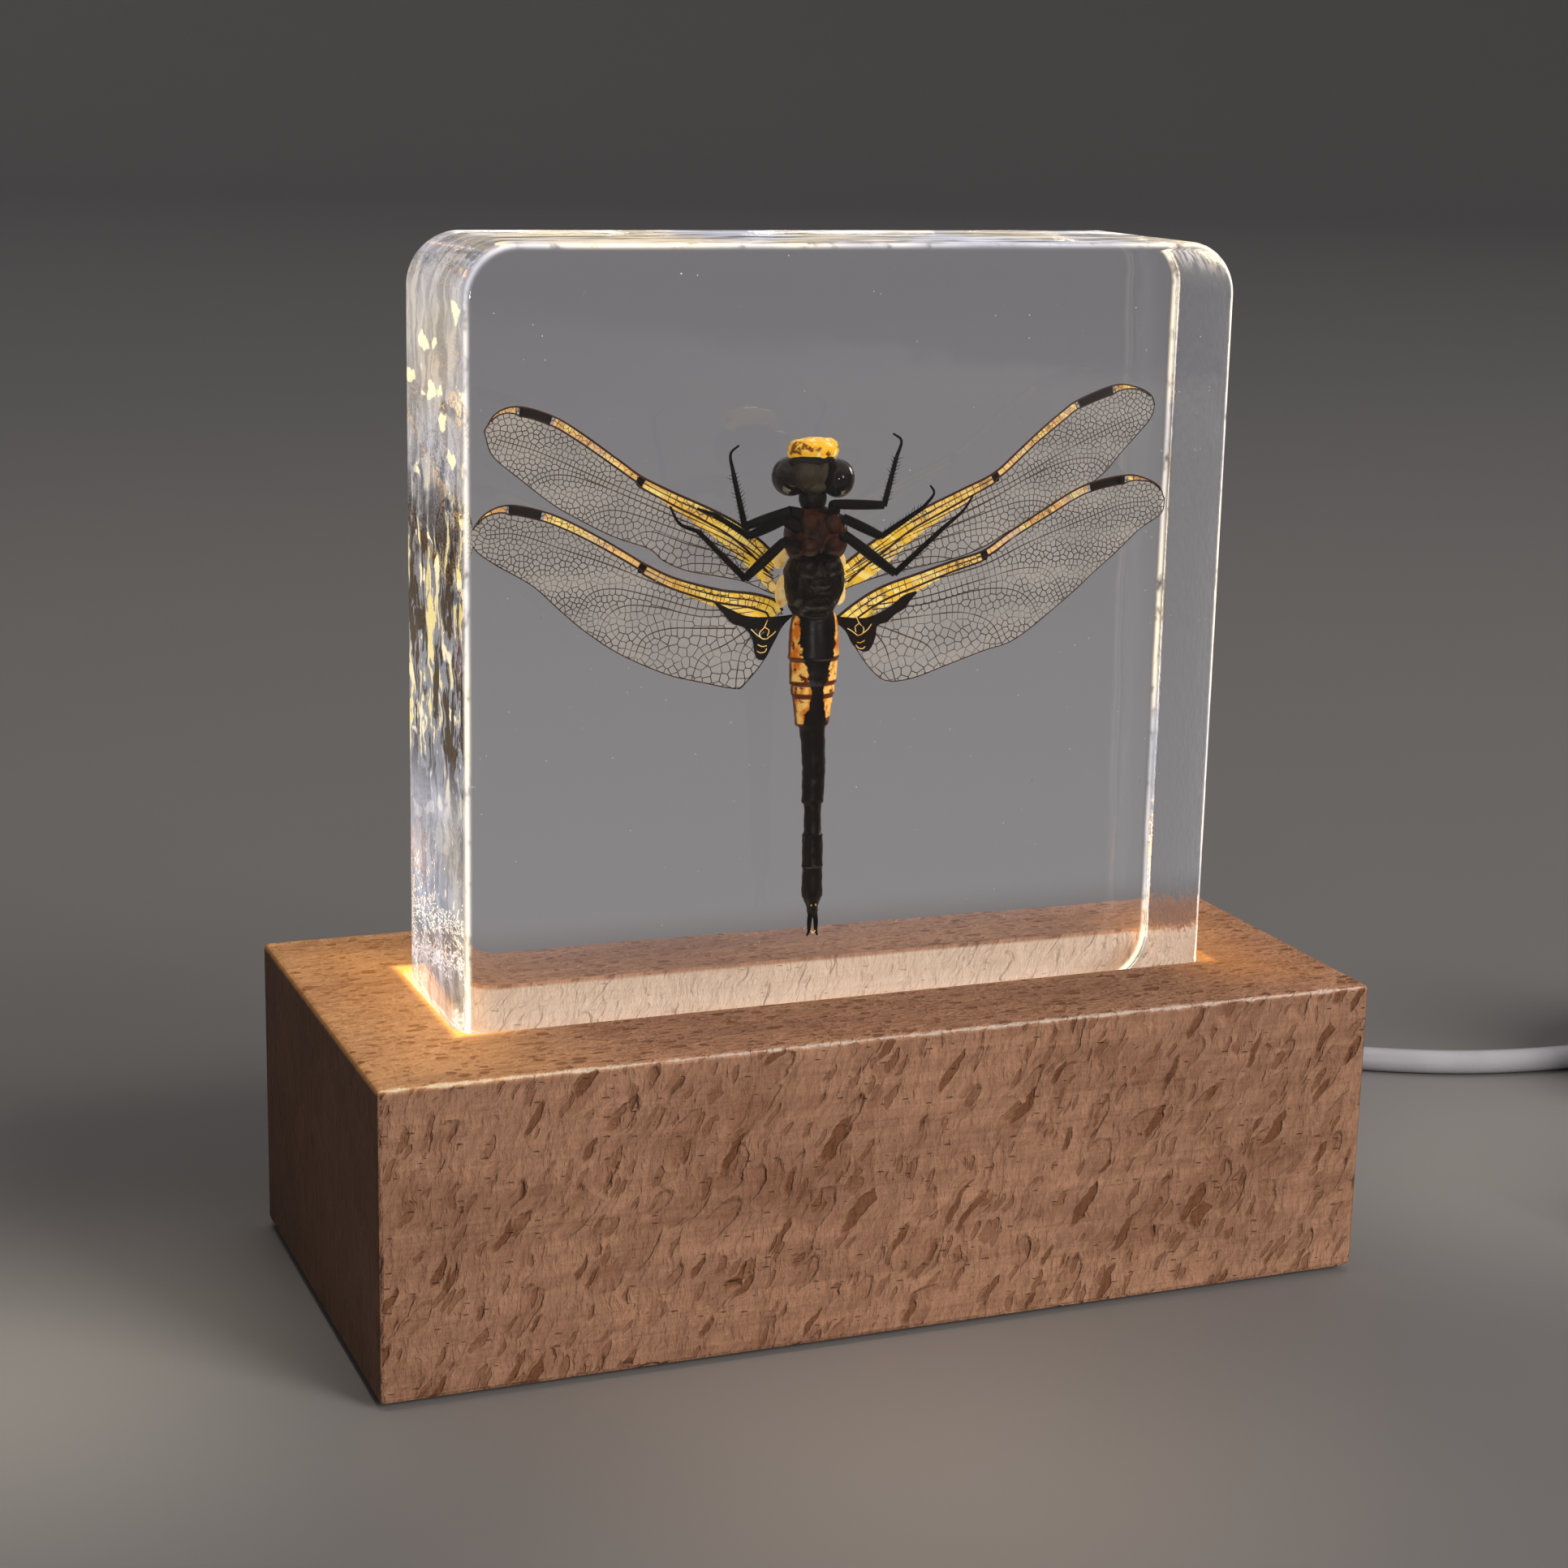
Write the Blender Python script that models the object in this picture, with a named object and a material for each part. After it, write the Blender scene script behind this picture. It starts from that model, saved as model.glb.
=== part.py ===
"""A clear cast resin block with rounded corners, standing in a lit beech base with a USB lead.

Metres, +Z up, +Y away from the viewer. The origin is at the bottom centre, on the surface
that the four feet stand on. The specimen sealed in the resin is not part of this model.
"""

import math

import bmesh
import bpy
from mathutils import Matrix, Vector

MM = 0.001
GAP = 0.3 * MM  # clearance between pieces that touch

# The wooden base
BASE_WIDTH = 98.0 * MM
BASE_DEPTH = 46.0 * MM
BASE_TOP = 29.5 * MM
BASE_FOOT_CLEARANCE = 0.5 * MM  # underside of the wood above the surface
BASE_EDGE = 0.5 * MM

# The resin block and the pocket that it stands in
BLOCK_SIDE = 75.0 * MM
BLOCK_THICKNESS = 20.0 * MM
BLOCK_CORNER = 5.0 * MM
BLOCK_EDGE = 0.8 * MM
POCKET_DEPTH = 5.0 * MM
POCKET_CLEARANCE = 1.0 * MM
POCKET_CORNER = 2.5 * MM

# The light under the block
WINDOW_LENGTH = 70.0 * MM
WINDOW_DEPTH = 12.0 * MM
WINDOW_THICKNESS = 2.7 * MM
SLOT_LENGTH = 66.0 * MM
SLOT_DEPTH = 9.0 * MM
BAY_LENGTH = 84.0 * MM
BAY_DEPTH = 26.0 * MM
BAY_TOP = 14.0 * MM
BOARD_LENGTH = 76.0 * MM
BOARD_DEPTH = 14.0 * MM
BOARD_THICKNESS = 1.0 * MM
LED_COUNT = 6
LED_SIDE = 5.0 * MM
LED_HEIGHT = 1.6 * MM
LED_PITCH = 11.0 * MM

# The cover, its screws and the feet
COVER_LENGTH = 90.0 * MM
COVER_DEPTH = 38.0 * MM
COVER_THICKNESS = 2.0 * MM
COVER_CORNER = 3.0 * MM
SCREW_X = 39.0 * MM
SCREW_Y = 16.0 * MM
SCREW_HEAD_RADIUS = 2.2 * MM
SCREW_HEAD_HEIGHT = 1.3 * MM
SCREW_SHANK_RADIUS = 1.0 * MM
SCREW_LENGTH = 8.0 * MM
FOOT_X = 31.0 * MM
FOOT_Y = 11.0 * MM
FOOT_RADIUS = 4.0 * MM
FOOT_HEIGHT = 1.2 * MM

# The lead: where it leaves the back, its thickness, its coil and its plug
EXIT_X = 22.0 * MM
EXIT_Z = 7.0 * MM
BOOT_LENGTH = 10.0 * MM
BOOT_START_RADIUS = 2.9 * MM
BOOT_END_RADIUS = 1.9 * MM
CABLE_DIAMETER = 2.8 * MM
TURN_PITCH = 2.9 * MM
COIL_COLUMNS = 3
COIL_LAYERS = 4
COIL_INNER_TURN = 11.6 * MM
COIL_CENTRE = Vector((131.0, 4.0, 0.0)) * MM
COIL_LIFT = 1.0 * MM
TIE_THICKNESS = 0.7 * MM
TIE_WIDTH = 3.0 * MM
TIE_ANGLE = math.radians(200)
PLUG_HEIGHT = 7.8 * MM
PLUG_WIDTH = 15.0 * MM
PLUG_BODY_LENGTH = 20.0 * MM
PLUG_RELIEF_LENGTH = 9.0 * MM
SHELL_WIDTH = 12.0 * MM
SHELL_HEIGHT = 4.5 * MM
SHELL_LENGTH = 12.0 * MM
SHELL_WALL = 0.35 * MM

# Places worked out from the sizes above
POCKET_FLOOR = BASE_TOP - POCKET_DEPTH - GAP
BLOCK_BOTTOM = BASE_TOP - POCKET_DEPTH
WINDOW_TOP = POCKET_FLOOR - 0.2 * MM
WINDOW_BOTTOM = WINDOW_TOP - WINDOW_THICKNESS
BOARD_TOP = BAY_TOP - GAP
COVER_TOP = BASE_FOOT_CLEARANCE + COVER_THICKNESS
BACK = BASE_DEPTH / 2
COIL_OUTER_TURN = COIL_INNER_TURN + (COIL_COLUMNS - 1) * TURN_PITCH
RING_INNER = COIL_INNER_TURN - TURN_PITCH / 2
RING_OUTER = COIL_OUTER_TURN + TURN_PITCH / 2
RING_TOP = COIL_LIFT + COIL_LAYERS * TURN_PITCH
FLOOR_RUN = CABLE_DIAMETER / 2 + 0.05 * MM

# The lead's route from the boot to the coil, and from the coil to the plug, in millimetres
LEAD_ROUTE = [
    (22.0, 33.6, 7.0),
    (22.3, 38.5, 6.6),
    (24.6, 44.6, 4.8),
    (30.5, 50.2, 2.5),
    (39.5, 53.0, 1.5),
    (50.0, 51.8, 1.45),
    (60.5, 47.0, 1.45),
    (70.0, 39.8, 1.45),
    (78.0, 33.2, 1.45),
    (85.5, 28.3, 1.45),
    (94.0, 24.6, 1.45),
    (103.5, 22.6, 1.45),
    (114.0, 21.8, 1.6),
    (123.0, 21.5, 2.1),
    (130.7, 21.4, 2.4),
]
TAIL_ROUTE = [
    (148.4, 3.7, 11.15),
    (147.9, -2.8, 10.4),
    (145.6, -9.6, 8.9),
    (141.2, -15.4, 7.0),
    (135.4, -19.6, 5.2),
    (129.5, -22.0, 4.2),
    (126.0, -22.9, 4.0),
]
PLUG_HEADING = math.radians(193)


def clear_scene() -> None:
    """Empty the scene, so that the model starts from nothing."""
    for obj in list(bpy.data.objects):
        bpy.data.objects.remove(obj, do_unlink=True)


def make_material(name: str, colour: tuple, roughness: float, metallic: float = 0.0,
                  transmission: float = 0.0) -> bpy.types.Material:
    """A Principled material with one colour."""
    material = bpy.data.materials.new(name)
    material.use_nodes = True
    shader = material.node_tree.nodes["Principled BSDF"]
    shader.inputs["Base Color"].default_value = (*colour, 1.0)
    shader.inputs["Roughness"].default_value = roughness
    shader.inputs["Metallic"].default_value = metallic
    shader.inputs["Transmission Weight"].default_value = transmission
    material.diffuse_color = (*colour, 1.0)
    return material


def add_object(name: str, mesh: bpy.types.Mesh, material: bpy.types.Material,
               smooth: bool = False) -> bpy.types.Object:
    """Put a mesh in the scene as one named piece."""
    if smooth:
        mesh.shade_smooth()
        mesh.set_sharp_from_angle(angle=math.radians(35))
    obj = bpy.data.objects.new(name, mesh)
    obj.data.materials.append(material)
    bpy.context.scene.collection.objects.link(obj)
    return obj


def finish_mesh(name: str, bm: bmesh.types.BMesh) -> bpy.types.Mesh:
    """Close a bmesh into a mesh whose faces point outwards."""
    bmesh.ops.remove_doubles(bm, verts=bm.verts, dist=1e-7)
    bmesh.ops.recalc_face_normals(bm, faces=bm.faces)
    mesh = bpy.data.meshes.new(name)
    bm.to_mesh(mesh)
    bm.free()
    return mesh


def rounded_outline(width: float, depth: float, radius: float, steps: int) -> list:
    """Points of a rectangle with round corners, centred on the origin."""
    points = []
    for quarter in range(4):
        turn = math.pi / 2 * quarter
        sign_x = 1 if quarter in (0, 3) else -1
        sign_y = 1 if quarter in (0, 1) else -1
        centre = (sign_x * (width / 2 - radius), sign_y * (depth / 2 - radius))
        for step in range(steps + 1):
            angle = turn + math.pi / 2 * step / steps
            points.append((centre[0] + radius * math.cos(angle), centre[1] + radius * math.sin(angle)))
    return points


def prism_mesh(name: str, outline: list, low: float, high: float) -> bpy.types.Mesh:
    """A flat outline extruded from one height to another."""
    bm = bmesh.new()
    face = bm.faces.new([bm.verts.new((x, y, low)) for x, y in outline])
    raised = bmesh.ops.extrude_face_region(bm, geom=[face])
    top = [item for item in raised["geom"] if isinstance(item, bmesh.types.BMVert)]
    bmesh.ops.translate(bm, verts=top, vec=(0, 0, high - low))
    return finish_mesh(name, bm)


def turned_mesh(name: str, profile: list, steps: int, closed: bool = False) -> bpy.types.Mesh:
    """A profile of (radius, height) points turned round the Z axis."""
    bm = bmesh.new()
    verts = [bm.verts.new((radius, 0, height)) for radius, height in profile]
    edges = [bm.edges.new(pair) for pair in zip(verts, verts[1:])]
    if closed:
        edges.append(bm.edges.new((verts[-1], verts[0])))
    bmesh.ops.spin(bm, geom=verts + edges, cent=(0, 0, 0), axis=(0, 0, 1),
                   angle=2 * math.pi, steps=steps, use_merge=True)
    return finish_mesh(name, bm)


def cut(obj: bpy.types.Object, cutter: bpy.types.Object) -> None:
    """Cut one piece with a hidden cutter."""
    cutter.hide_render = True
    cutter.display_type = "WIRE"
    boolean = obj.modifiers.new("cut_" + cutter.name, "BOOLEAN")
    boolean.operation = "DIFFERENCE"
    boolean.solver = "EXACT"
    boolean.object = cutter


def round_edges(obj: bpy.types.Object, width: float, segments: int) -> None:
    """Round the edges of a piece that meet at a clear angle."""
    bevel = obj.modifiers.new("round_edges", "BEVEL")
    bevel.width = width
    bevel.segments = segments
    bevel.limit_method = "ANGLE"
    bevel.angle_limit = math.radians(50)


def smooth_route(points: list, spacing: float) -> list:
    """Evenly spaced points along one smooth curve through a route's own points, in metres."""
    knots = [Vector(point) * MM for point in points]
    ends = [2 * knots[0] - knots[1]] + knots + [2 * knots[-1] - knots[-2]]
    dense = []
    for before, start, end, after in zip(ends, ends[1:], ends[2:], ends[3:]):
        for step in range(12):
            t = step / 12
            dense.append(0.5 * (2 * start + (end - before) * t
                                + (2 * before - 5 * start + 4 * end - after) * t * t
                                + (3 * start - before - 3 * end + after) * t ** 3))
    dense.append(knots[-1])
    lengths = [0.0]
    for first, second in zip(dense, dense[1:]):
        lengths.append(lengths[-1] + (second - first).length)
    count = max(2, round(lengths[-1] / spacing))
    result = []
    for index in range(count + 1):
        target = lengths[-1] * index / count
        place = max(i for i, length in enumerate(lengths[:-1]) if length <= target + 1e-12)
        share = (target - lengths[place]) / (lengths[place + 1] - lengths[place])
        result.append(dense[place].lerp(dense[place + 1], share))
    return result


def add_tube(name: str, points: list, radius: float, material: bpy.types.Material) -> bpy.types.Object:
    """A round tube along points, as a bevelled curve with closed ends."""
    curve = bpy.data.curves.new(name, "CURVE")
    curve.dimensions = "3D"
    curve.bevel_depth = radius
    curve.bevel_resolution = 2
    curve.use_fill_caps = True
    spline = curve.splines.new("POLY")
    spline.points.add(len(points) - 1)
    for slot, point in zip(spline.points, points):
        slot.co = (*point, 1.0)
    obj = bpy.data.objects.new(name, curve)
    obj.data.materials.append(material)
    bpy.context.scene.collection.objects.link(obj)
    return obj


def build_block(resin: bpy.types.Material) -> None:
    """The clear slab, standing on edge, with round corners and softened edges."""
    outline = rounded_outline(BLOCK_SIDE, BLOCK_SIDE, BLOCK_CORNER, 8)
    mesh = prism_mesh("resin_block", outline, -BLOCK_THICKNESS / 2, BLOCK_THICKNESS / 2)
    block = add_object("resin_block", mesh, resin, smooth=True)
    block.rotation_euler = (math.pi / 2, 0, 0)
    block.location = (0, 0, BLOCK_BOTTOM + BLOCK_SIDE / 2)
    round_edges(block, BLOCK_EDGE, 3)


def build_base(wood: bpy.types.Material) -> None:
    """The wooden base with its pocket, light slot, wiring bay, cover rebate and lead hole."""
    half_width, half_depth = BASE_WIDTH / 2, BASE_DEPTH / 2
    corners = [(-half_width, -half_depth), (half_width, -half_depth),
               (half_width, half_depth), (-half_width, half_depth)]
    base = add_object("wood_base", prism_mesh("wood_base", corners, BASE_FOOT_CLEARANCE, BASE_TOP), wood)
    round_edges(base, BASE_EDGE, 2)

    over = 2 * MM
    pocket_length = BLOCK_SIDE + 2 * POCKET_CLEARANCE
    pocket_depth = BLOCK_THICKNESS + 2 * POCKET_CLEARANCE
    hollows = [
        ("pocket", pocket_length, pocket_depth, POCKET_CORNER, POCKET_FLOOR, BASE_TOP + over),
        ("window_rebate", WINDOW_LENGTH + 2 * GAP, WINDOW_DEPTH + 2 * GAP, 1 * MM,
         WINDOW_BOTTOM - GAP, POCKET_FLOOR + over),
        ("light_slot", SLOT_LENGTH, SLOT_DEPTH, 1 * MM, BAY_TOP - over, WINDOW_BOTTOM + over / 2),
        ("wiring_bay", BAY_LENGTH, BAY_DEPTH, 3 * MM, COVER_TOP, BAY_TOP),
        ("cover_rebate", COVER_LENGTH + 2 * GAP, COVER_DEPTH + 2 * GAP, COVER_CORNER + GAP,
         -over, COVER_TOP + GAP),
    ]
    for name, length, depth, radius, low, high in hollows:
        outline = rounded_outline(length, depth, radius, 4)
        cut(base, add_object("cutter_" + name, prism_mesh(name, outline, low, high), wood))

    radius = BOOT_END_RADIUS + GAP
    hole = turned_mesh("lead_hole", [(0, 0), (radius, 0), (radius, 14 * MM), (0, 14 * MM)], 20)
    cutter = add_object("cutter_lead_hole", hole, wood)
    cutter.rotation_euler = (-math.pi / 2, 0, 0)
    cutter.location = (EXIT_X, BAY_DEPTH / 2 - 2 * MM, EXIT_Z)
    cut(base, cutter)

    for index, (x, y) in enumerate(screw_places()):
        radius = SCREW_SHANK_RADIUS + GAP
        profile = [(0, 0), (radius, 0), (radius, SCREW_LENGTH + 1 * MM), (0, SCREW_LENGTH + 1 * MM)]
        pilot = add_object(f"cutter_pilot_{index + 1}", turned_mesh("pilot", profile, 12), wood)
        pilot.location = (x, y, BASE_FOOT_CLEARANCE + 0.3 * MM)
        cut(base, pilot)


def screw_places() -> list:
    """Where the four cover screws go, in the solid wood beside the wiring bay."""
    return [(sign_x * SCREW_X, sign_y * SCREW_Y) for sign_x in (-1, 1) for sign_y in (-1, 1)]


def foot_places() -> list:
    """Where the four feet go."""
    return [(sign_x * FOOT_X, sign_y * FOOT_Y) for sign_x in (-1, 1) for sign_y in (-1, 1)]


def build_light(acrylic: bpy.types.Material, board: bpy.types.Material, led: bpy.types.Material,
                red: bpy.types.Material, black: bpy.types.Material) -> None:
    """The frosted window, the board with its row of LEDs and the two wires to it."""
    outline = rounded_outline(WINDOW_LENGTH, WINDOW_DEPTH, 0.8 * MM, 3)
    add_object("light_window", prism_mesh("light_window", outline, WINDOW_BOTTOM, WINDOW_TOP), acrylic)

    outline = rounded_outline(BOARD_LENGTH, BOARD_DEPTH, 1.0 * MM, 2)
    mesh = prism_mesh("led_board", outline, BOARD_TOP - BOARD_THICKNESS, BOARD_TOP)
    add_object("led_board", mesh, board)

    low = BOARD_TOP + GAP
    outline = rounded_outline(LED_SIDE, LED_SIDE, 0.3 * MM, 2)
    mesh = prism_mesh("led", outline, low, low + LED_HEIGHT)
    for index in range(LED_COUNT):
        obj = add_object(f"led_{index + 1}", mesh, led)
        obj.location.x = (index - (LED_COUNT - 1) / 2) * LED_PITCH

    for name, side, material in (("wire_red", 1, red), ("wire_black", -1, black)):
        wire = [
            (22 + side * 0.8, 11.1, 7.0),
            (22 + side * 1.4, 7.6, 6.6),
            (25 + side * 1.6, 3.6, 6.6),
            (30, 1.0 + side * 2.2, 8.4),
            (33, 0.4 + side * 2.6, 11.7),
        ]
        add_tube(name, smooth_route(wire, 2 * MM), 0.5 * MM, material)


def build_cover(plastic: bpy.types.Material, steel: bpy.types.Material, rubber: bpy.types.Material) -> None:
    """The bottom cover, its countersunk screws and the feet set into it."""
    outline = rounded_outline(COVER_LENGTH, COVER_DEPTH, COVER_CORNER, 4)
    mesh = prism_mesh("bottom_cover", outline, BASE_FOOT_CLEARANCE, COVER_TOP)
    cover = add_object("bottom_cover", mesh, plastic)

    sink = [
        (0, -1 * MM),
        (SCREW_HEAD_RADIUS + GAP, -1 * MM),
        (SCREW_HEAD_RADIUS + GAP, 0.3 * MM),
        (SCREW_SHANK_RADIUS + GAP, SCREW_HEAD_HEIGHT + GAP),
        (SCREW_SHANK_RADIUS + GAP, COVER_THICKNESS + 1 * MM),
        (0, COVER_THICKNESS + 1 * MM),
    ]
    head = [
        (0, 0),
        (SCREW_HEAD_RADIUS, 0),
        (SCREW_HEAD_RADIUS, 0.2 * MM),
        (SCREW_SHANK_RADIUS, SCREW_HEAD_HEIGHT),
        (SCREW_SHANK_RADIUS, SCREW_LENGTH - 1 * MM),
        (0, SCREW_LENGTH),
    ]
    arm, reach = 0.35 * MM, 1.3 * MM
    cross = [(arm, arm), (arm, reach), (-arm, reach), (-arm, arm), (-reach, arm), (-reach, -arm),
             (-arm, -arm), (-arm, -reach), (arm, -reach), (arm, -arm), (reach, -arm), (reach, arm)]
    screw_mesh = turned_mesh("cover_screw", head, 20)
    drive_mesh = prism_mesh("drive", cross, -0.5 * MM, 0.7 * MM)
    for index, (x, y) in enumerate(screw_places()):
        place = (x, y, BASE_FOOT_CLEARANCE + 0.2 * MM)
        hole = add_object(f"cutter_sink_{index + 1}", turned_mesh("sink", sink, 20), plastic)
        hole.location = place
        cut(cover, hole)
        screw = add_object(f"cover_screw_{index + 1}", screw_mesh, steel, smooth=True)
        screw.location = place
        drive = add_object(f"cutter_drive_{index + 1}", drive_mesh, steel)
        drive.location = place
        cut(screw, drive)

    radius = FOOT_RADIUS + GAP
    seat = [(0, -1 * MM), (radius, -1 * MM), (radius, FOOT_HEIGHT + GAP), (0, FOOT_HEIGHT + GAP)]
    pad = [(0, 0), (FOOT_RADIUS - 0.3 * MM, 0), (FOOT_RADIUS, 0.3 * MM), (FOOT_RADIUS, FOOT_HEIGHT),
           (0, FOOT_HEIGHT)]
    foot_mesh = turned_mesh("foot", pad, 24)
    for index, (x, y) in enumerate(foot_places()):
        hole = add_object(f"cutter_foot_{index + 1}", turned_mesh("foot_seat", seat, 24), plastic)
        hole.location = (x, y, 0)
        cut(cover, hole)
        foot = add_object(f"foot_{index + 1}", foot_mesh, rubber, smooth=True)
        foot.location = (x, y, 0)


def build_boot(white: bpy.types.Material) -> None:
    """The strain relief: a flange in the bay, a neck through the wall and a tapered boot behind."""
    wall = BACK - BAY_DEPTH / 2
    neck = BOOT_END_RADIUS
    profile = [
        (0, -wall - 1.5 * MM),
        (3.2 * MM, -wall - 1.5 * MM),
        (3.2 * MM, -wall - GAP),
        (neck, -wall - GAP),
        (neck, GAP),
        (BOOT_START_RADIUS + 0.4 * MM, GAP),
        (BOOT_START_RADIUS + 0.4 * MM, 1.4 * MM),
    ]
    ribs = 4
    pitch = (BOOT_LENGTH - 1.4 * MM) / ribs
    for rib in range(ribs):
        start = 1.4 * MM + rib * pitch
        radius = BOOT_START_RADIUS + (BOOT_END_RADIUS - BOOT_START_RADIUS) * rib / (ribs - 1)
        profile += [(radius - 0.35 * MM, start), (radius - 0.35 * MM, start + 0.4 * pitch),
                    (radius, start + 0.4 * pitch), (radius, start + pitch)]
    profile.append((0, BOOT_LENGTH))
    boot = add_object("cable_boot", turned_mesh("cable_boot", profile, 20), white, smooth=True)
    boot.rotation_euler = (-math.pi / 2, 0, 0)
    boot.location = (EXIT_X, BACK, EXIT_Z)


def build_lead(white: bpy.types.Material, tie: bpy.types.Material) -> None:
    """The lead along the surface, its coil, the tie round the coil and the tail to the plug."""
    spacing = 2.4 * CABLE_DIAMETER
    route = smooth_route(LEAD_ROUTE, spacing)
    add_tube("cable", clear_of_ring(route, route[-1]), CABLE_DIAMETER / 2, white)
    tail = smooth_route(TAIL_ROUTE, spacing)
    add_tube("cable_tail", clear_of_ring(tail[::-1], tail[0])[::-1], CABLE_DIAMETER / 2, white)

    edge = 1.0 * MM
    profile = [
        (RING_INNER + edge, COIL_LIFT), (RING_OUTER - edge, COIL_LIFT),
        (RING_OUTER, COIL_LIFT + edge), (RING_OUTER, RING_TOP - edge),
        (RING_OUTER - edge, RING_TOP), (RING_INNER + edge, RING_TOP),
        (RING_INNER, RING_TOP - edge), (RING_INNER, COIL_LIFT + edge),
    ]
    coil = add_object("cable_coil", turned_mesh("cable_coil", profile, 40, closed=True), white, smooth=True)
    coil.location = COIL_CENTRE

    inner = (RING_OUTER - RING_INNER + 2 * GAP, RING_TOP - COIL_LIFT + 2 * GAP)
    outer = (inner[0] + 2 * TIE_THICKNESS, inner[1] + 2 * TIE_THICKNESS)
    band = prism_mesh("cable_tie", rounded_outline(*outer, 1.2 * MM, 3), -TIE_WIDTH / 2, TIE_WIDTH / 2)
    hole = prism_mesh("tie_hole", rounded_outline(*inner, 0.5 * MM, 2), -TIE_WIDTH, TIE_WIDTH)
    middle = (RING_INNER + RING_OUTER) / 2
    across = Matrix.Rotation(TIE_ANGLE, 4, "Z") @ Matrix.Rotation(math.pi / 2, 4, "X")
    centre = COIL_CENTRE + Vector((middle * math.cos(TIE_ANGLE), middle * math.sin(TIE_ANGLE),
                                   (COIL_LIFT + RING_TOP) / 2))
    place = Matrix.Translation(centre) @ across
    band.transform(place)
    hole.transform(place)
    cut(add_object("cable_tie", band, tie), add_object("cutter_tie", hole, tie))


def clear_of_ring(points: list, meeting: Vector) -> list:
    """The points of a tube that ends against the coil's outer face, its gap kept."""
    reach = RING_OUTER + CABLE_DIAMETER / 2 + GAP
    kept = [p for p in points if (p.xy - COIL_CENTRE.xy).length >= reach]
    end = kept[-1]
    for step in range(50):
        trial = kept[-1].lerp(meeting, step / 50)
        if (trial.xy - COIL_CENTRE.xy).length < reach:
            break
        end = trial
    return kept + [end] if (end - kept[-1]).length > 0.4 * CABLE_DIAMETER else kept


def build_plug(white: bpy.types.Material, steel: bpy.types.Material, dark: bpy.types.Material) -> None:
    """The plug lying on the surface: moulded body with its relief, steel shell and tongue."""
    start = Vector(TAIL_ROUTE[-1]) * MM
    heading = Matrix.Translation(start) @ Matrix.Rotation(PLUG_HEADING, 4, "Z")
    along = heading @ Matrix.Rotation(math.pi / 2, 4, "Y")

    outline = rounded_outline(PLUG_HEIGHT, PLUG_WIDTH, 1.5 * MM, 3)
    low = GAP + PLUG_RELIEF_LENGTH
    body = prism_mesh("plug_body", outline, low, low + PLUG_BODY_LENGTH)
    body.transform(along)
    plug = add_object("plug_body", body, white)
    round_edges(plug, 0.6 * MM, 2)

    taper = [(0, 0), (2.0 * MM, 0), (3.2 * MM, PLUG_RELIEF_LENGTH - GAP), (0, PLUG_RELIEF_LENGTH - GAP)]
    relief = turned_mesh("plug_relief", taper, 20)
    relief.transform(along @ Matrix.Translation((0, 0, GAP)))
    add_object("plug_relief", relief, white, smooth=True)

    mouth = low + PLUG_BODY_LENGTH + GAP
    shell = prism_mesh("plug_shell", rounded_outline(SHELL_HEIGHT, SHELL_WIDTH, 0.5 * MM, 2),
                       mouth, mouth + SHELL_LENGTH)
    inside = prism_mesh("shell_inside", rounded_outline(SHELL_HEIGHT - 2 * SHELL_WALL,
                                                        SHELL_WIDTH - 2 * SHELL_WALL, 0.3 * MM, 2),
                        mouth + SHELL_WALL, mouth + SHELL_LENGTH + 1 * MM)
    shell.transform(along)
    inside.transform(along)
    cut(add_object("plug_shell", shell, steel), add_object("cutter_shell", inside, steel))

    thick = 1.7 * MM
    side = SHELL_HEIGHT / 2 - SHELL_WALL - GAP - thick / 2
    tongue = prism_mesh("plug_tongue", rounded_outline(thick, SHELL_WIDTH - 2 * SHELL_WALL - 2 * GAP,
                                                       0.3 * MM, 2),
                        mouth + SHELL_WALL + GAP, mouth + SHELL_LENGTH - 0.8 * MM)
    tongue.transform(along @ Matrix.Translation((-side, 0, 0)))
    add_object("plug_tongue", tongue, dark)


def build() -> None:
    """Make every piece."""
    clear_scene()
    resin = make_material("clear_resin", (0.95, 0.95, 0.93), 0.03, transmission=1.0)
    wood = make_material("beech", (0.46, 0.27, 0.17), 0.55)
    acrylic = make_material("frosted_acrylic", (0.93, 0.93, 0.90), 0.5, transmission=0.6)
    board = make_material("white_board", (0.85, 0.87, 0.85), 0.4)
    led = make_material("led", (0.95, 0.85, 0.55), 0.4)
    plastic = make_material("black_plastic", (0.03, 0.03, 0.032), 0.5)
    steel = make_material("steel", (0.62, 0.62, 0.63), 0.3, metallic=1.0)
    rubber = make_material("foot_rubber", (0.12, 0.12, 0.12), 0.8)
    white = make_material("white_lead", (0.80, 0.80, 0.82), 0.45)
    red = make_material("red_wire", (0.55, 0.03, 0.02), 0.45)
    black = make_material("black_wire", (0.02, 0.02, 0.02), 0.45)

    build_block(resin)
    build_base(wood)
    build_light(acrylic, board, led, red, black)
    build_cover(plastic, steel, rubber)
    build_boot(white)
    build_lead(white, black)
    build_plug(white, steel, white)


build()
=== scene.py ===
"""A dragonfly cast in an upright clear block that stands in the pocket of a lit beech base.

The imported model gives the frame: the base, its light, the cover, the feet, the lead and the plug
keep their places. This script adds the finish of every surface, the polished block with what is
sealed in it, and the lead wound at its real length. The frame is in metres, +Z up and +Y from the
front of the block to its back. The insect is drawn in millimetres in the same axes.
"""

import logging
import math
import random
from collections.abc import Iterable, Sequence
from dataclasses import dataclass, field
from enum import Enum
from functools import partial, reduce

import bmesh
import bpy
from mathutils import Matrix, Vector, geometry, noise


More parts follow.
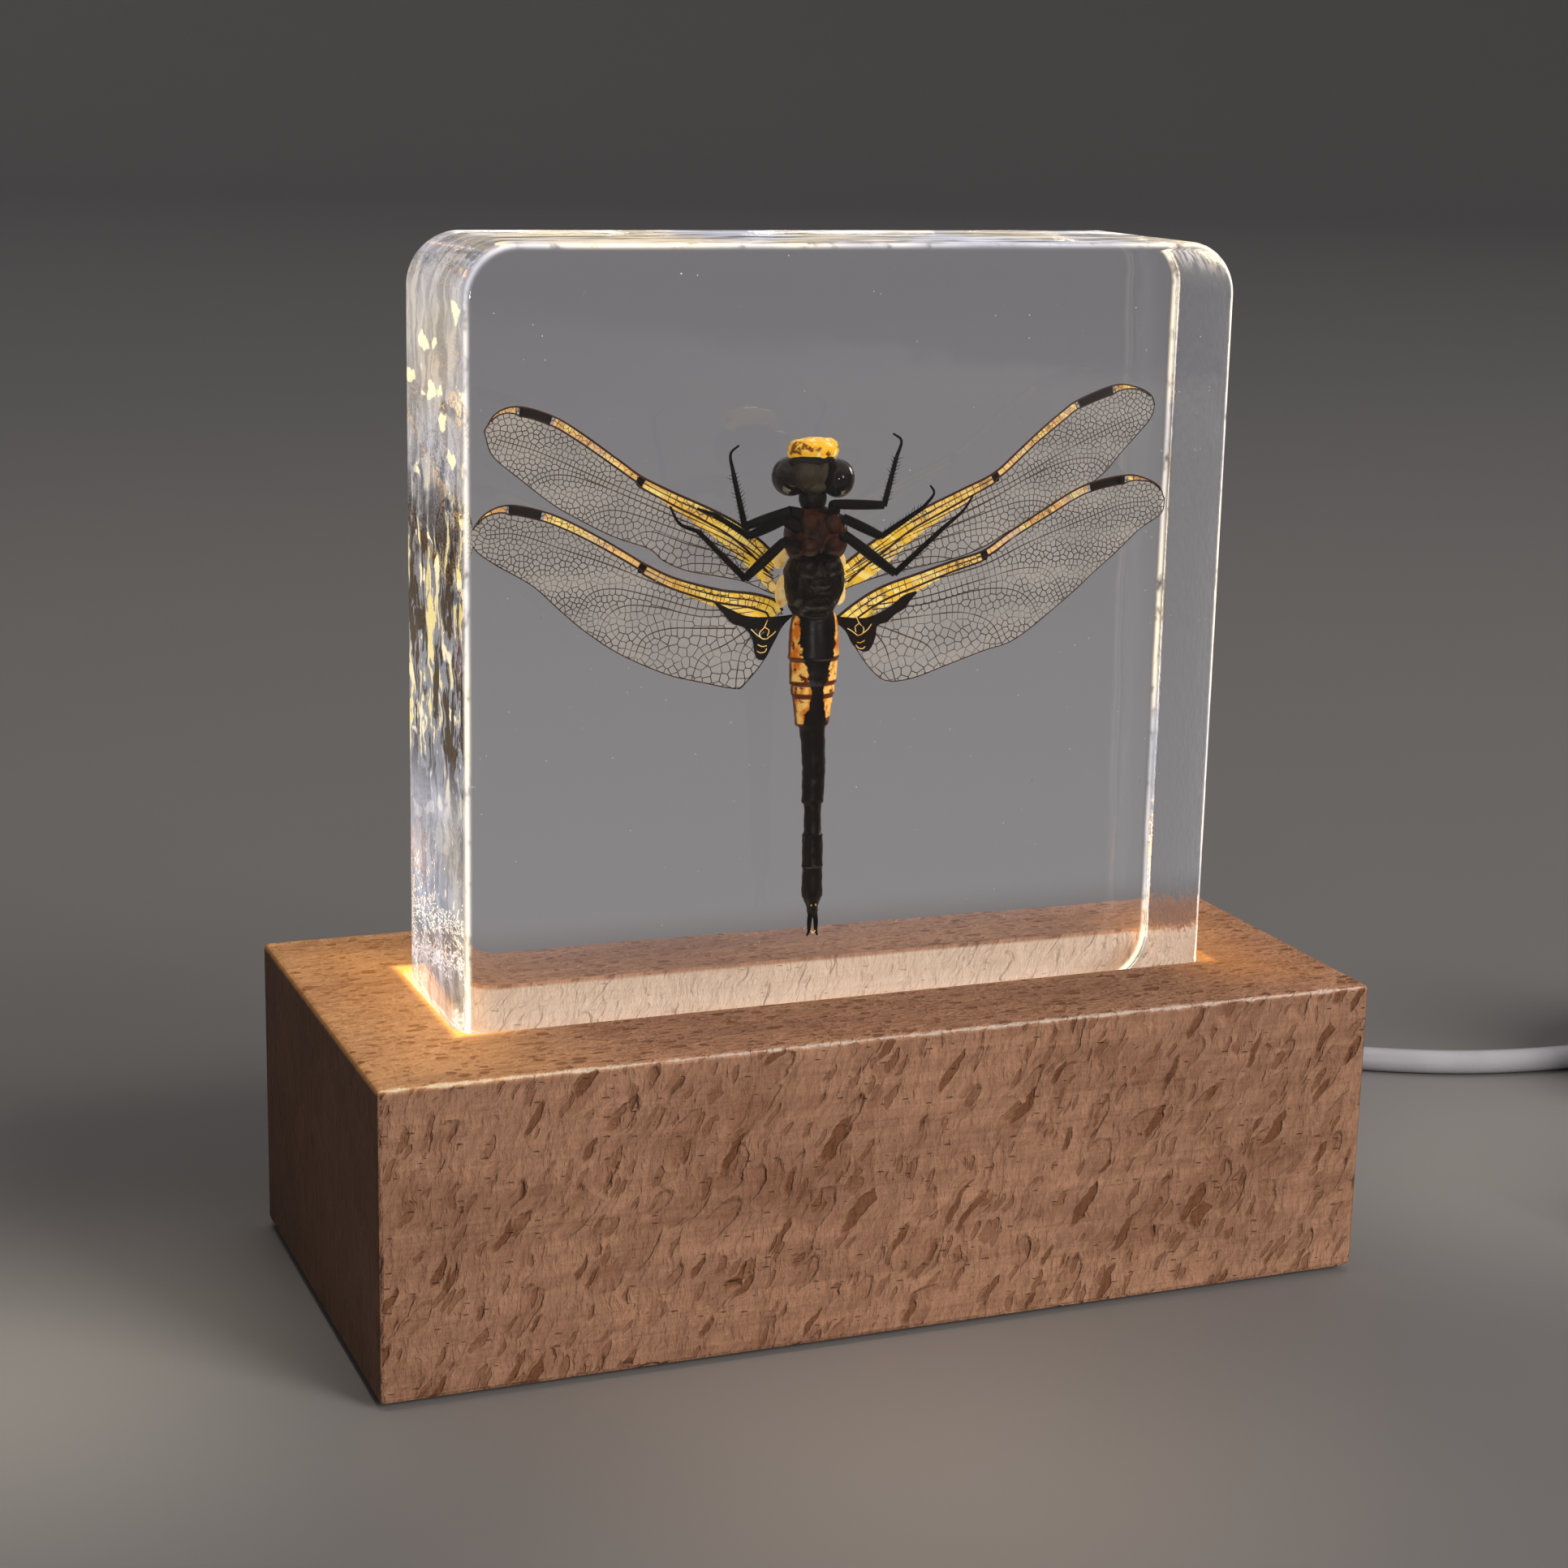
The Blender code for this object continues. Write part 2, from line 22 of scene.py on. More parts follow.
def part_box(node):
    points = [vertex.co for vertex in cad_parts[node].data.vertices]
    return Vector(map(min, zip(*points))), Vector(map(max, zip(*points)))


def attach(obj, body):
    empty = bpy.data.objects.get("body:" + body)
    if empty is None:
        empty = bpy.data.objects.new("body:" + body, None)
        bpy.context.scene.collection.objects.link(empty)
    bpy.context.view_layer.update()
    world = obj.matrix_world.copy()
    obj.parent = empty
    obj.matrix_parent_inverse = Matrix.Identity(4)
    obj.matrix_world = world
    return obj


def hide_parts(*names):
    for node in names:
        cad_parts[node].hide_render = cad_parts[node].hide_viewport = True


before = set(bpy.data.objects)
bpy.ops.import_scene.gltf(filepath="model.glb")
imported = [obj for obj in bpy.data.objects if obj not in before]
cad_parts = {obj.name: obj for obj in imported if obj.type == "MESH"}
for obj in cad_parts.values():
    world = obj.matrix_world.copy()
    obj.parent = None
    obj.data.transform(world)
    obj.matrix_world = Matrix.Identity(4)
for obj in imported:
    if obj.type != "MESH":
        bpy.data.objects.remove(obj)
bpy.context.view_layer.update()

logging.basicConfig(level=logging.INFO, format="%(levelname)s %(message)s")
LOG = logging.getLogger("insect_block")

MM = 0.001
FINE_WELD = 1e-5
COARSE_WELD = 1e-3
Colour = tuple[float, float, float]
Point = tuple[float, float, float]
Flat = tuple[float, float]
Material = bpy.types.Material
Mesh = bpy.types.Mesh
Node = bpy.types.Node
NodeTree = bpy.types.NodeTree
Socket = bpy.types.NodeSocket


class Slot(Enum):
    """The record's material slots that a new piece may take its finish from."""

    RESIN = "resin"
    LEAD = "white_lead"


class Side(Enum):
    """The side of the body that a wing or a leg is on, as seen from the front."""

    LEFT = -1
    RIGHT = 1


# ---- Meshes ----


def smooth_line(points: Sequence[Vector], spacing: float) -> list[Vector]:
    """Evenly spaced points along one smooth curve through the given points.

    Args:
        points: The points that the curve passes through.
        spacing: The wanted distance between the new points, in the same unit.

    Returns:
        The new points, the first and the last of the given points included.
    """
    knots = [Vector(point) for point in points]
    ends = [2 * knots[0] - knots[1]] + knots + [2 * knots[-1] - knots[-2]]
    dense: list[Vector] = []
    for before, start, end, after in zip(ends, ends[1:], ends[2:], ends[3:]):
        for step in range(12):
            t = step / 12
            dense.append(0.5 * (2 * start + (end - before) * t
                                + (2 * before - 5 * start + 4 * end - after) * t * t
                                + (3 * start - before - 3 * end + after) * t ** 3))
    dense.append(knots[-1])
    return resample(dense, spacing)


def resample(dense: Sequence[Vector], spacing: float) -> list[Vector]:
    """Evenly spaced points along a run of straight pieces.

    Args:
        dense: The points of the run.
        spacing: The wanted distance between the new points.

    Returns:
        The new points, with the run's two ends.
    """
    lengths = [0.0]
    for first, second in zip(dense, dense[1:]):
        lengths.append(lengths[-1] + (second - first).length)
    count = max(2, round(lengths[-1] / spacing))
    result, place = [], 0
    for index in range(count + 1):
        target = lengths[-1] * index / count
        while place < len(dense) - 2 and lengths[place + 1] < target:
            place += 1
        step = max(lengths[place + 1] - lengths[place], 1e-12)
        result.append(dense[place].lerp(dense[place + 1], min(1.0, (target - lengths[place]) / step)))
    return result


@dataclass
class Draft:
    """The points and faces of one mesh while it is being drawn, in millimetres."""

    points: list[Vector] = field(default_factory=list)
    faces: list[tuple[int, ...]] = field(default_factory=list)

    def add(self, points: Iterable[Vector], faces: Iterable[Sequence[int]]) -> None:
        """Add a shape whose faces count from its own first point."""
        start = len(self.points)
        self.points.extend(Vector(point) for point in points)
        self.faces.extend(tuple(start + index for index in face) for face in faces)

    def loft(self, rings: Sequence[Sequence[Vector]]) -> None:
        """Add a skin over rings with as many points each, closed flat at both ends."""
        count, end = len(rings[0]), len(rings[0]) * (len(rings) - 1)
        faces: list[Sequence[int]] = [range(count)]
        for low in range(0, end, count):
            for index in range(count):
                after = (index + 1) % count
                faces.append((low + index, low + after, low + count + after, low + count + index))
        faces.append(range(end, end + count))
        self.add([point for ring in rings for point in ring], faces)

    def tube(self, path: Sequence[Vector], radii: Sequence[float], sides: int = 8) -> None:
        """Add a round bar along a path, closed at both ends.

        Args:
            path: The points that its centre follows.
            radii: Its radius at each point.
            sides: How many sides it has.
        """
        side = Vector((0.0, 1.0, 0.0))
        rings: list[list[Vector]] = []
        turns = [math.tau * step / sides for step in range(sides)]
        for index, point in enumerate(path):
            ahead = path[min(index + 1, len(path) - 1)] - path[max(index - 1, 0)]
            ahead.normalize()
            side = side - ahead * side.dot(ahead)
            if side.length < 1e-6:
                side = ahead.orthogonal()
            side.normalize()
            across = ahead.cross(side)
            rings.append([point + (side * math.sin(angle) + across * math.cos(angle)) * radii[index]
                          for angle in turns])
        self.loft(rings)

    def plate(self, outline: Sequence[Vector], thickness: float) -> None:
        """Add a flat plate with its outline's points on its middle plane, thick along Y."""
        count = len(outline)
        offset = Vector((0, thickness / 2, 0))
        points = [point - offset for point in outline] + [point + offset for point in outline]
        faces: list[tuple[int, ...]] = [tuple(range(count)), tuple(reversed(range(count, 2 * count)))]
        for index in range(count):
            after = (index + 1) % count
            faces.append((index, index + count, after + count, after))
        self.add(points, faces)

    def ribbon(self, first: Sequence[Vector], second: Sequence[Vector], thickness: float) -> None:
        """Add a thin strip between two lines with as many points each."""
        for index in range(len(first) - 1):
            self.plate([first[index], first[index + 1], second[index + 1], second[index]], thickness)

    def mesh(self, name: str, weld: float = 1e-4) -> Mesh:
        """The drawn mesh in metres, its faces outwards.

        Args:
            name: The mesh's name.
            weld: How close two points are to become one, in millimetres; 0 keeps all.

        Returns:
            The new mesh.
        """
        made = bpy.data.meshes.new(name)
        made.from_pydata([point * MM for point in self.points], [], self.faces)
        work = bmesh.new()
        work.from_mesh(made)
        if weld > 0:
            bmesh.ops.remove_doubles(work, verts=work.verts, dist=weld * MM)
        bmesh.ops.recalc_face_normals(work, faces=work.faces)
        work.to_mesh(made)
        work.free()
        return made


@dataclass(frozen=True)
class Lump:
    """One rounded part of a body that is blended with its neighbours, in millimetres."""

    centre: Point
    radii: Point
    turn: float = 0.0


def new_object(name: str, data: bpy.types.ID) -> bpy.types.Object:
    """Put a new object in the scene."""
    made = bpy.data.objects.new(name, data)
    bpy.context.scene.collection.objects.link(made)
    return made


def blended_mesh(name: str, lumps: Sequence[Lump], grain: float, passes: int,
                 roughen: float = 0.0) -> Mesh:
    """One closed skin round several lumps, with the joins between them eased.

    Args:
        name: The mesh's name.
        lumps: The rounded parts.
        grain: The size of the skin's faces, in millimetres.
        passes: How many times the joins are smoothed.
        roughen: The height of a fine unevenness, in millimetres.

    Returns:
        The skin in metres.
    """
    work = bmesh.new()
    for lump in lumps:
        place = Matrix.Translation(lump.centre) @ Matrix.Rotation(math.radians(lump.turn), 4, "Y")
        scale = Matrix.Diagonal((*lump.radii, 1.0))
        bmesh.ops.create_icosphere(work, subdivisions=4, radius=1.0, matrix=place @ scale)
    bmesh.ops.scale(work, vec=(MM, MM, MM), verts=work.verts)
    rough = bpy.data.meshes.new(name + "_lumps")
    work.to_mesh(rough)
    work.free()
    holder = new_object(name + "_lumps", rough)
    remesh = holder.modifiers.new("skin", "REMESH")
    remesh.mode = "VOXEL"
    remesh.voxel_size = grain * MM
    ease = holder.modifiers.new("ease", "SMOOTH")
    ease.factor = 0.5
    ease.iterations = passes
    made = evaluated_mesh(holder, name)
    roughen_mesh(made, roughen)
    return made


def add_lumps(name: str, lumps: Sequence[Lump], material: Material, grain: float,
              passes: int, roughen: float = 0.0) -> None:
    """Put one piece of blended lumps in the scene, its sizes as blended_mesh takes them."""
    add_piece(name, blended_mesh(name, lumps, grain, passes, roughen), material)


def add_draft(name: str, draft: Draft, material: Material, weld: float = 1e-4,
              sharp: float = 40.0) -> None:
    """Put one drawn piece in the scene, its points welded within a distance in millimetres."""
    add_piece(name, draft.mesh(name, weld), material, sharp=sharp)


def roughen_mesh(mesh: Mesh, height: float) -> None:
    """Give a skin a fine unevenness.

    Args:
        mesh: The skin, in metres.
        height: The height of the unevenness, in millimetres.
    """
    normals = [Vector(item.vector) for item in mesh.vertex_normals]
    for vertex, normal in zip(mesh.vertices, normals):
        place = vertex.co / MM
        lift = noise.noise(place * 1.3) + 0.6 * noise.noise(place * 3.1)
        vertex.co += normal * (height * MM * lift)


def evaluated_mesh(holder: bpy.types.Object, name: str) -> Mesh:
    """A plain mesh of a working object with its modifiers in effect; the object is removed."""
    graph = bpy.context.evaluated_depsgraph_get()
    made = bpy.data.meshes.new_from_object(holder.evaluated_get(graph), depsgraph=graph)
    made.name = name
    bpy.data.objects.remove(holder, do_unlink=True)
    return made


def add_piece(name: str, mesh: Mesh, material: Material,
              sharp: float = 40.0, replaces: Sequence[str] = ()) -> bpy.types.Object:
    """Put one finished piece in the scene, riding on the object's one body.

    Args:
        name: The piece's name.
        mesh: Its mesh, in place.
        material: Its finish.
        sharp: The angle over which an edge stays sharp, in degrees.
        replaces: The CAD nodes that it stands for.

    Returns:
        The new object.
    """
    mesh.shade_smooth()
    mesh.set_sharp_from_angle(angle=math.radians(sharp))
    mesh.materials.clear()
    mesh.materials.append(material)
    piece = new_object(name, mesh)
    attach(piece, "root")
    if replaces:
        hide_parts(*replaces)
    LOG.info("piece %s: %d faces", name, len(mesh.polygons))
    return piece


class Tree:
    """A node tree while it is being written."""

    def __init__(self, tree: NodeTree) -> None:
        """Keep the tree that the nodes go into."""
        self.tree = tree

    def feed(self, socket: Socket, value: object) -> None:
        """Give a socket a link or a plain value; a colour of three shares is made opaque."""
        if isinstance(value, Socket):
            self.tree.links.new(value, socket)
        elif socket.type == "RGBA" and isinstance(value, tuple) and len(value) == 3:
            socket.default_value = (*value, 1.0)
        else:
            socket.default_value = value

    def node(self, kind: str, feeds: dict[str | int, object] | None = None, **settings: object) -> Node:
        """Add one node.

        Args:
            kind: The node's kind.
            feeds: What goes into each named or numbered input.
            **settings: The node's own settings.

        Returns:
            The new node.
        """
        made = self.tree.nodes.new(kind)
        for key, value in settings.items():
            setattr(made, key, value)
        for key, value in (feeds or {}).items():
            self.feed(made.inputs[key], value)
        return made


class Recipe(Tree):
    """A Geometry Nodes tree with named inputs, written here and run on a working object."""

    def __init__(self, name: str) -> None:
        """Start a tree with a geometry input and a geometry output."""
        super().__init__(bpy.data.node_groups.new(name, "GeometryNodeTree"))
        self.sockets: dict[str, str] = {}
        face = self.tree.interface
        face.new_socket("Geometry", in_out="INPUT", socket_type="NodeSocketGeometry")
        face.new_socket("Geometry", in_out="OUTPUT", socket_type="NodeSocketGeometry")
        self.entry = self.node("NodeGroupInput")
        self.exit = self.node("NodeGroupOutput")

    def socket(self, name: str, kind: str) -> Socket:
        """Add one named input and return it as the tree's nodes see it."""
        made = self.tree.interface.new_socket(name, in_out="INPUT", socket_type=kind)
        self.sockets[name] = made.identifier
        return self.entry.outputs[name]

    def close(self, last: Socket) -> None:
        """End the tree in Realize Instances and Set Material."""
        real = self.node("GeometryNodeRealizeInstances", {"Geometry": last})
        finish = self.socket("Finish", "NodeSocketMaterial")
        dress = self.node("GeometryNodeSetMaterial", {"Geometry": real.outputs["Geometry"],
                                                      "Material": finish})
        self.feed(self.exit.inputs["Geometry"], dress.outputs["Geometry"])

    def run(self, name: str, base: Mesh, values: dict[str, object]) -> Mesh:
        """Run the tree on a mesh.

        Args:
            name: The name of the new mesh.
            base: The mesh that the tree starts from.
            values: The value of each named input.

        Returns:
            A plain mesh of the result.
        """
        holder = new_object(name + "_work", base)
        modifier = holder.modifiers.new("recipe", "NODES")
        modifier.node_group = self.tree
        for label, value in values.items():
            modifier[self.sockets[label]] = value
        return evaluated_mesh(holder, name)


# ---- Materials ----


class Sheet(Tree):
    """A shader node tree while it is being written."""

    def maths(self, operation: str, first: object, second: object = 0.0,
              third: object = 0.0) -> Socket:
        """Add one Math node and return its result."""
        made = self.node("ShaderNodeMath", {0: first, 1: second, 2: third}, operation=operation)
        return made.outputs[0]

    def times(self, *values: object) -> Socket:
        """The product of the values."""
        return reduce(partial(self.maths, "MULTIPLY"), values)

    def plus(self, *values: object) -> Socket:
        """The sum of the values."""
        return reduce(partial(self.maths, "ADD"), values)

    def minus(self, first: object, second: object) -> Socket:
        """The first value less the second."""
        return self.maths("SUBTRACT", first, second)

    def magnitude(self, value: object) -> Socket:
        """A value without its sign."""
        return self.maths("ABSOLUTE", value)

    def split(self, vector: Socket) -> tuple[Socket, ...]:
        """The X, Y and Z of a vector."""
        return tuple(self.node("ShaderNodeSeparateXYZ", {0: vector}).outputs)

    def fade(self, value: object, low: float, high: float, start: float = 0.0,
             end: float = 1.0) -> Socket:
        """A smooth step from one value to another as the input goes from low to high."""
        made = self.node("ShaderNodeMapRange", {"Value": value, "From Min": low, "From Max": high,
                                                "To Min": start, "To Max": end},
                         interpolation_type="SMOOTHSTEP")
        return made.outputs["Result"]

    def frame_of(self, vector: Socket, sizes: Point, turn: Point = (0, 0, 0)) -> Socket:
        """A vector counted in cells of the given sizes, along turned axes.

        Args:
            vector: The vector in metres.
            sizes: The cell's three sizes, in millimetres.
            turn: The turn of its axes, in degrees.

        Returns:
            The new vector.
        """
        made = self.node("ShaderNodeMapping", {
            "Vector": vector, "Rotation": [math.radians(angle) for angle in turn],
            "Scale": Vector(sizes) * MM}, vector_type="TEXTURE")
        return made.outputs["Vector"]

    def noise(self, vector: Socket, detail: float = 3.0, rough: float = 0.55,
              bend: float = 0.0) -> Socket:
        """A cloud pattern with cells one unit across."""
        return self.node("ShaderNodeTexNoise", {"Vector": vector, "Scale": 1.0, "Detail": detail,
                                                "Roughness": rough, "Distortion": bend}).outputs["Fac"]

    def cells(self, vector: Socket) -> tuple[Socket, Socket]:
        """The distance from the nearest of scattered seeds, and a random value for each seed.

        Args:
            vector: The place, counted in cells.

        Returns:
            The distance and the seed's value.
        """
        made = self.node("ShaderNodeTexVoronoi", {"Vector": vector, "Scale": 1.0})
        pick = self.node("ShaderNodeSeparateColor", {0: made.outputs["Color"]})
        return made.outputs["Distance"], pick.outputs["Red"]

    def ramp(self, factor: object, stops: Sequence[tuple[float, Colour]]) -> Socket:
        """A colour read from a scale of colours."""
        made = self.node("ShaderNodeValToRGB", {"Fac": factor})
        scale = made.color_ramp
        while len(scale.elements) < len(stops):
            scale.elements.new(0.5)
        for element, (place, colour) in zip(scale.elements, stops):
            element.position = place
            element.color = (*colour, 1.0)
        return made.outputs["Color"]

    def blend(self, factor: object, first: object, second: object, mode: str = "MIX") -> Socket:
        """Two colours mixed by a factor."""
        made = self.node("ShaderNodeMix", data_type="RGBA", blend_type=mode)
        for index, value in ((0, factor), (6, first), (7, second)):
            self.feed(made.inputs[index], value)
        return made.outputs[2]


class Paint(Sheet):
    """One material, with its shader and the piece's own coordinates at hand."""

    def __init__(self, name: str, lamp: bool = False) -> None:
        """Start a material with a Principled shader.

        Args:
            name: The material's name.
            lamp: Whether the piece lights its surroundings the way a lamp does.
        """
        self.material = bpy.data.materials.new(name)
        self.material.use_nodes = True
        self.material.cycles.emission_sampling = "AUTO" if lamp else "NONE"
        super().__init__(self.material.node_tree)
        self.shader = self.tree.nodes["Principled BSDF"]
        self.coords = self.node("ShaderNodeTexCoord").outputs["Object"]

    def set(self, **values: object) -> None:
        """Set the shader's sockets; an underscore in a name stands for a space."""
        for key, value in values.items():
            self.feed(self.shader.inputs[key.replace("_", " ")], value)

    def group(self, tree: NodeTree, **values: object) -> Node:
        """Place a shared node group with its own values."""
        return self.node("ShaderNodeGroup", values, node_tree=tree)

    def axes(self) -> tuple[Socket, ...]:
        """The piece's X, Y and Z in millimetres."""
        return self.split(self.frame_of(self.coords, (1, 1, 1)))

    def cloud(self, sizes: Point, detail: float = 3.0, rough: float = 0.55, bend: float = 0.0,
              turn: Point = (0, 0, 0)) -> Socket:
        """A cloud pattern on the piece, its cells' sizes in millimetres."""
        return self.noise(self.frame_of(self.coords, sizes, turn), detail, rough, bend)

    def bent(self, cell: float, reach: Point) -> Socket:
        """The piece's coordinates, bent by a cloud.

        Args:
            cell: The size of the cloud's cells, in millimetres.
            reach: How far it bends along each axis, in millimetres.

        Returns:
            The bent coordinates.
        """
        place = self.frame_of(self.coords, (cell, cell, cell))
        cloud = self.node("ShaderNodeTexNoise", {"Vector": place, "Scale": 1.0, "Detail": 4.0})
        warp = self.node("ShaderNodeVectorMath", {0: cloud.outputs["Color"], 1: Vector(reach) * MM,
                                                  2: self.coords}, operation="MULTIPLY_ADD")
        return warp.outputs["Vector"]

    def bump(self, height: Socket, depth: float, strength: float = 1.0) -> None:
        """Raise the surface by a height field, its depth in millimetres."""
        made = self.node("ShaderNodeBump", {"Strength": strength, "Distance": depth * MM,
                                            "Height": height})
        self.feed(self.shader.inputs["Normal"], made.outputs["Normal"])


class EffectGroup(Sheet):
    """A shared shader node group with named inputs and outputs."""

    def __init__(self, name: str, inputs: Sequence[tuple[str, str, float | None]],
                 outputs: Sequence[str]) -> None:
        """Make the group's sockets.

        Args:
            name: The group's name.
            inputs: Each input's name, kind and default value.
            outputs: The names of the values that it puts out.
        """
        super().__init__(bpy.data.node_groups.new(name, "ShaderNodeTree"))
        for label, kind, value in inputs:
            made = self.tree.interface.new_socket(label, in_out="INPUT", socket_type=kind)
            if value is not None:
                made.default_value = value
        for label in outputs:
            self.tree.interface.new_socket(label, in_out="OUTPUT", socket_type="NodeSocketFloat")
        self.entry = self.node("NodeGroupInput").outputs
        self.exit = self.node("NodeGroupOutput").inputs


def make_surface_wear() -> NodeTree:
    """The shared effect of handling: patches of tone, a roughness that wanders, and fine grit.

    Returns:
        A group with inputs Vector, Patch, Grit, Low and High, and outputs Tone, Roughness and
        Height. Patch and Grit are how many patches and grains go in a metre.
    """
    group = EffectGroup("surface_wear", [
        ("Vector", "NodeSocketVector", None),
        ("Patch", "NodeSocketFloat", 120.0),
        ("Grit", "NodeSocketFloat", 3000.0),
        ("Low", "NodeSocketFloat", 0.35),
        ("High", "NodeSocketFloat", 0.55),
    ], ["Tone", "Roughness", "Height"])
    patch, grit = (group.node("ShaderNodeTexNoise", {
        "Vector": group.entry["Vector"], "Scale": group.entry[label], "Detail": detail})
                   for label, detail in (("Patch", 4.0), ("Grit", 2.0)))
    span = group.minus(group.entry["High"], group.entry["Low"])
    wander = group.maths("MULTIPLY_ADD", patch.outputs["Fac"], span, group.entry["Low"])
    group.feed(group.exit["Tone"], group.fade(patch.outputs["Fac"], 0.3, 0.7))
    group.feed(group.exit["Roughness"], wander)
    group.feed(group.exit["Height"], grit.outputs["Fac"])
    return group.tree


@dataclass(frozen=True)
class PlainFinish:
    """A moulded, turned or painted surface: two near tones in patches under a fine grain."""

    name: str
    colour: Colour
    second: Colour
    rough: Flat = (0.35, 0.5)
    grit: float = 3000.0
    relief: float = 0.02
    metallic: float = 0.0
    specular: float = 0.5

    def paint(self, wear: NodeTree) -> Material:
        """Make the material with the shared wear group."""
        paint = Paint(self.name)
        effect = paint.group(wear, Vector=paint.coords, Patch=140.0, Grit=self.grit,
                             Low=self.rough[0], High=self.rough[1])
        paint.set(Base_Color=paint.blend(effect.outputs["Tone"], self.colour, self.second),
                  Roughness=effect.outputs["Roughness"], Metallic=self.metallic,
                  Specular_IOR_Level=self.specular)
        paint.bump(effect.outputs["Height"], self.relief)
        return paint.material


@dataclass(frozen=True)
class ResinFinish:
    """Clear cast resin with a polished face, lit from below, with painted light on its edges.

    The polished flats are plain clear resin. The softened edges and the narrow sides glow with
    painted light that stands for the light travelling up inside the block from below: glowing
    lines along the edges, a painted highlight along the top side, and on the left side a painted
    sheen and glowing flecks, broken by dark shards that tint the resin brown. A faint painted
    haze of light glows on the back face.
    """

    low: Point
    high: Point
    name: str = "clear_resin"
    tint: Colour = (0.84, 0.88, 0.95)
    density: float = 1.6
    index: float = 1.5
    # The level of the painted haze of light on the back face, at its top and at its bottom.
    haze: Flat = (0.100, 0.125)
    # The colours of the painted glow on the edges and of the glowing flecks on the left side.
    cream: Colour = (1.0, 0.84, 0.60)
    yellow: Colour = (0.90, 0.68, 0.12)
    pale: Colour = (1.0, 0.84, 0.46)

    def paint(self) -> Material:
        """Make the material; the block's corners are in millimetres."""
        paint = Paint(self.name)
        x, y, z = paint.axes()
        ripple = paint.cloud((9, 9, 9), 2.0, 0.5)
        edge = paint.node("ShaderNodeAttribute", attribute_name="softened_edge").outputs["Fac"]
        nick = paint.cloud((1.6, 1.6, 2.2), 2.0, 0.7)
        long = paint.cloud((16, 30, 24), 2.0)
        # Painted light: glowing lines along the softened edges, broken in places.
        line = paint.times(paint.maths("POWER", edge, 4.0), paint.fade(nick, 0.22, 0.5),
                           paint.fade(long, 0.3, 0.65, 0.25, 1.0))

        # The left and the top narrow sides, which carry painted light.
        narrow = paint.node("ShaderNodeAttribute", attribute_name="narrow_side").outputs["Fac"]
        left = paint.times(narrow, paint.fade(x, -32.0, -34.5))
        roof = paint.times(narrow, paint.fade(z, self.high[2] - 4.0, self.high[2] - 1.0),
                           paint.minus(1.0, left))
        # Glowing flecks on the left side: painted light.
        bent = paint.bent(3.0, (2.0, 4.0, 3.0))
        distance, pick = paint.cells(paint.frame_of(bent, (2.3, 3.6, 1.8)))
        reach = paint.times(paint.fade(pick, 0.40, 1.0), 0.52)
        fleck = paint.fade(paint.minus(distance, reach), 0.03, -0.06)
        fleck = paint.times(fleck, paint.fade(z, 44.0, 56.0, 0.12, 1.0))
        drift = paint.noise(paint.frame_of(bent, (9.0, 2.6, 9.0)), 3.0, 0.7)
        belt = paint.times(paint.fade(z, 47.0, 54.0), paint.fade(z, 82.0, 72.0))
        # Dark shards on the left side tint the resin brown and break its painted glow.
        shard = paint.times(paint.fade(drift, 0.50, 0.54), paint.times(belt, left))
        clear = paint.minus(1.0, shard)
        patch = paint.times(paint.fade(drift, 0.45, 0.42), belt)
        fleck = paint.times(paint.maths("MAXIMUM", fleck, patch), left, clear)
        streak = paint.cloud((7.0, 1.0, 1.0), 2.0, 0.65)
        # A painted highlight along the top side.
        shine = paint.times(roof, paint.fade(streak, 0.36, 0.60, 0.12, 1.0))
        # A faint painted haze of light on the back face.
        back = paint.times(paint.fade(y, self.high[1] - 0.12, self.high[1] - 0.03),
                           paint.minus(1.0, edge))
        haze_glow_mask = paint.times(paint.fade(z, self.high[2], self.low[2], *self.haze),
                           paint.fade(z, 31.0, 36.0, 0.3, 1.0))

        # The colours of the painted glow and of the glowing flecks.
        glow = paint.blend(paint.fade(long, 0.35, 0.6), (0.88, 0.88, 1.0), self.cream)
        fresh = paint.blend(paint.fade(pick, 0.6, 0.9), self.yellow, self.pale)
        glow = paint.blend(fleck, glow, fresh)
        # A painted sheen on the left side, weaker within the belt of shards.
        sheen = paint.times(left, paint.fade(drift, 0.35, 0.62, 0.42, 0.14), clear,
                            paint.fade(belt, 0.0, 1.0, 1.0, 0.15))
        # All the painted light of the resin, given as emission.
        light = paint.plus(paint.times(line, 1.5), paint.times(fleck, 0.72),
                           paint.times(shine, 0.8), sheen)
        bright = paint.blend(1.0, glow, light, "MULTIPLY")
        haze_glow = paint.blend(1.0, (0.91, 0.90, 1.0), paint.times(haze_glow_mask, back), "MULTIPLY")
        paint.set(Base_Color=paint.blend(shard, (1.0, 1.0, 1.0), (0.10, 0.045, 0.012)),
                  Transmission_Weight=1.0, IOR=self.index, Roughness=0.0,
                  Emission_Color=paint.blend(1.0, bright, haze_glow, "ADD"), Emission_Strength=1.0)
        relief = paint.times(narrow, paint.cloud((2.2, 2.2, 1.6), 2.0, 0.6))
        paint.bump(paint.plus(paint.times(ripple, 0.5), relief), 0.14, 0.6)
        body = paint.node("ShaderNodeVolumeAbsorption", {"Color": self.tint, "Density": self.density})
        output = next(node for node in paint.tree.nodes if node.type == "OUTPUT_MATERIAL")
        paint.feed(output.inputs["Volume"], body.outputs["Volume"])
        return paint.material


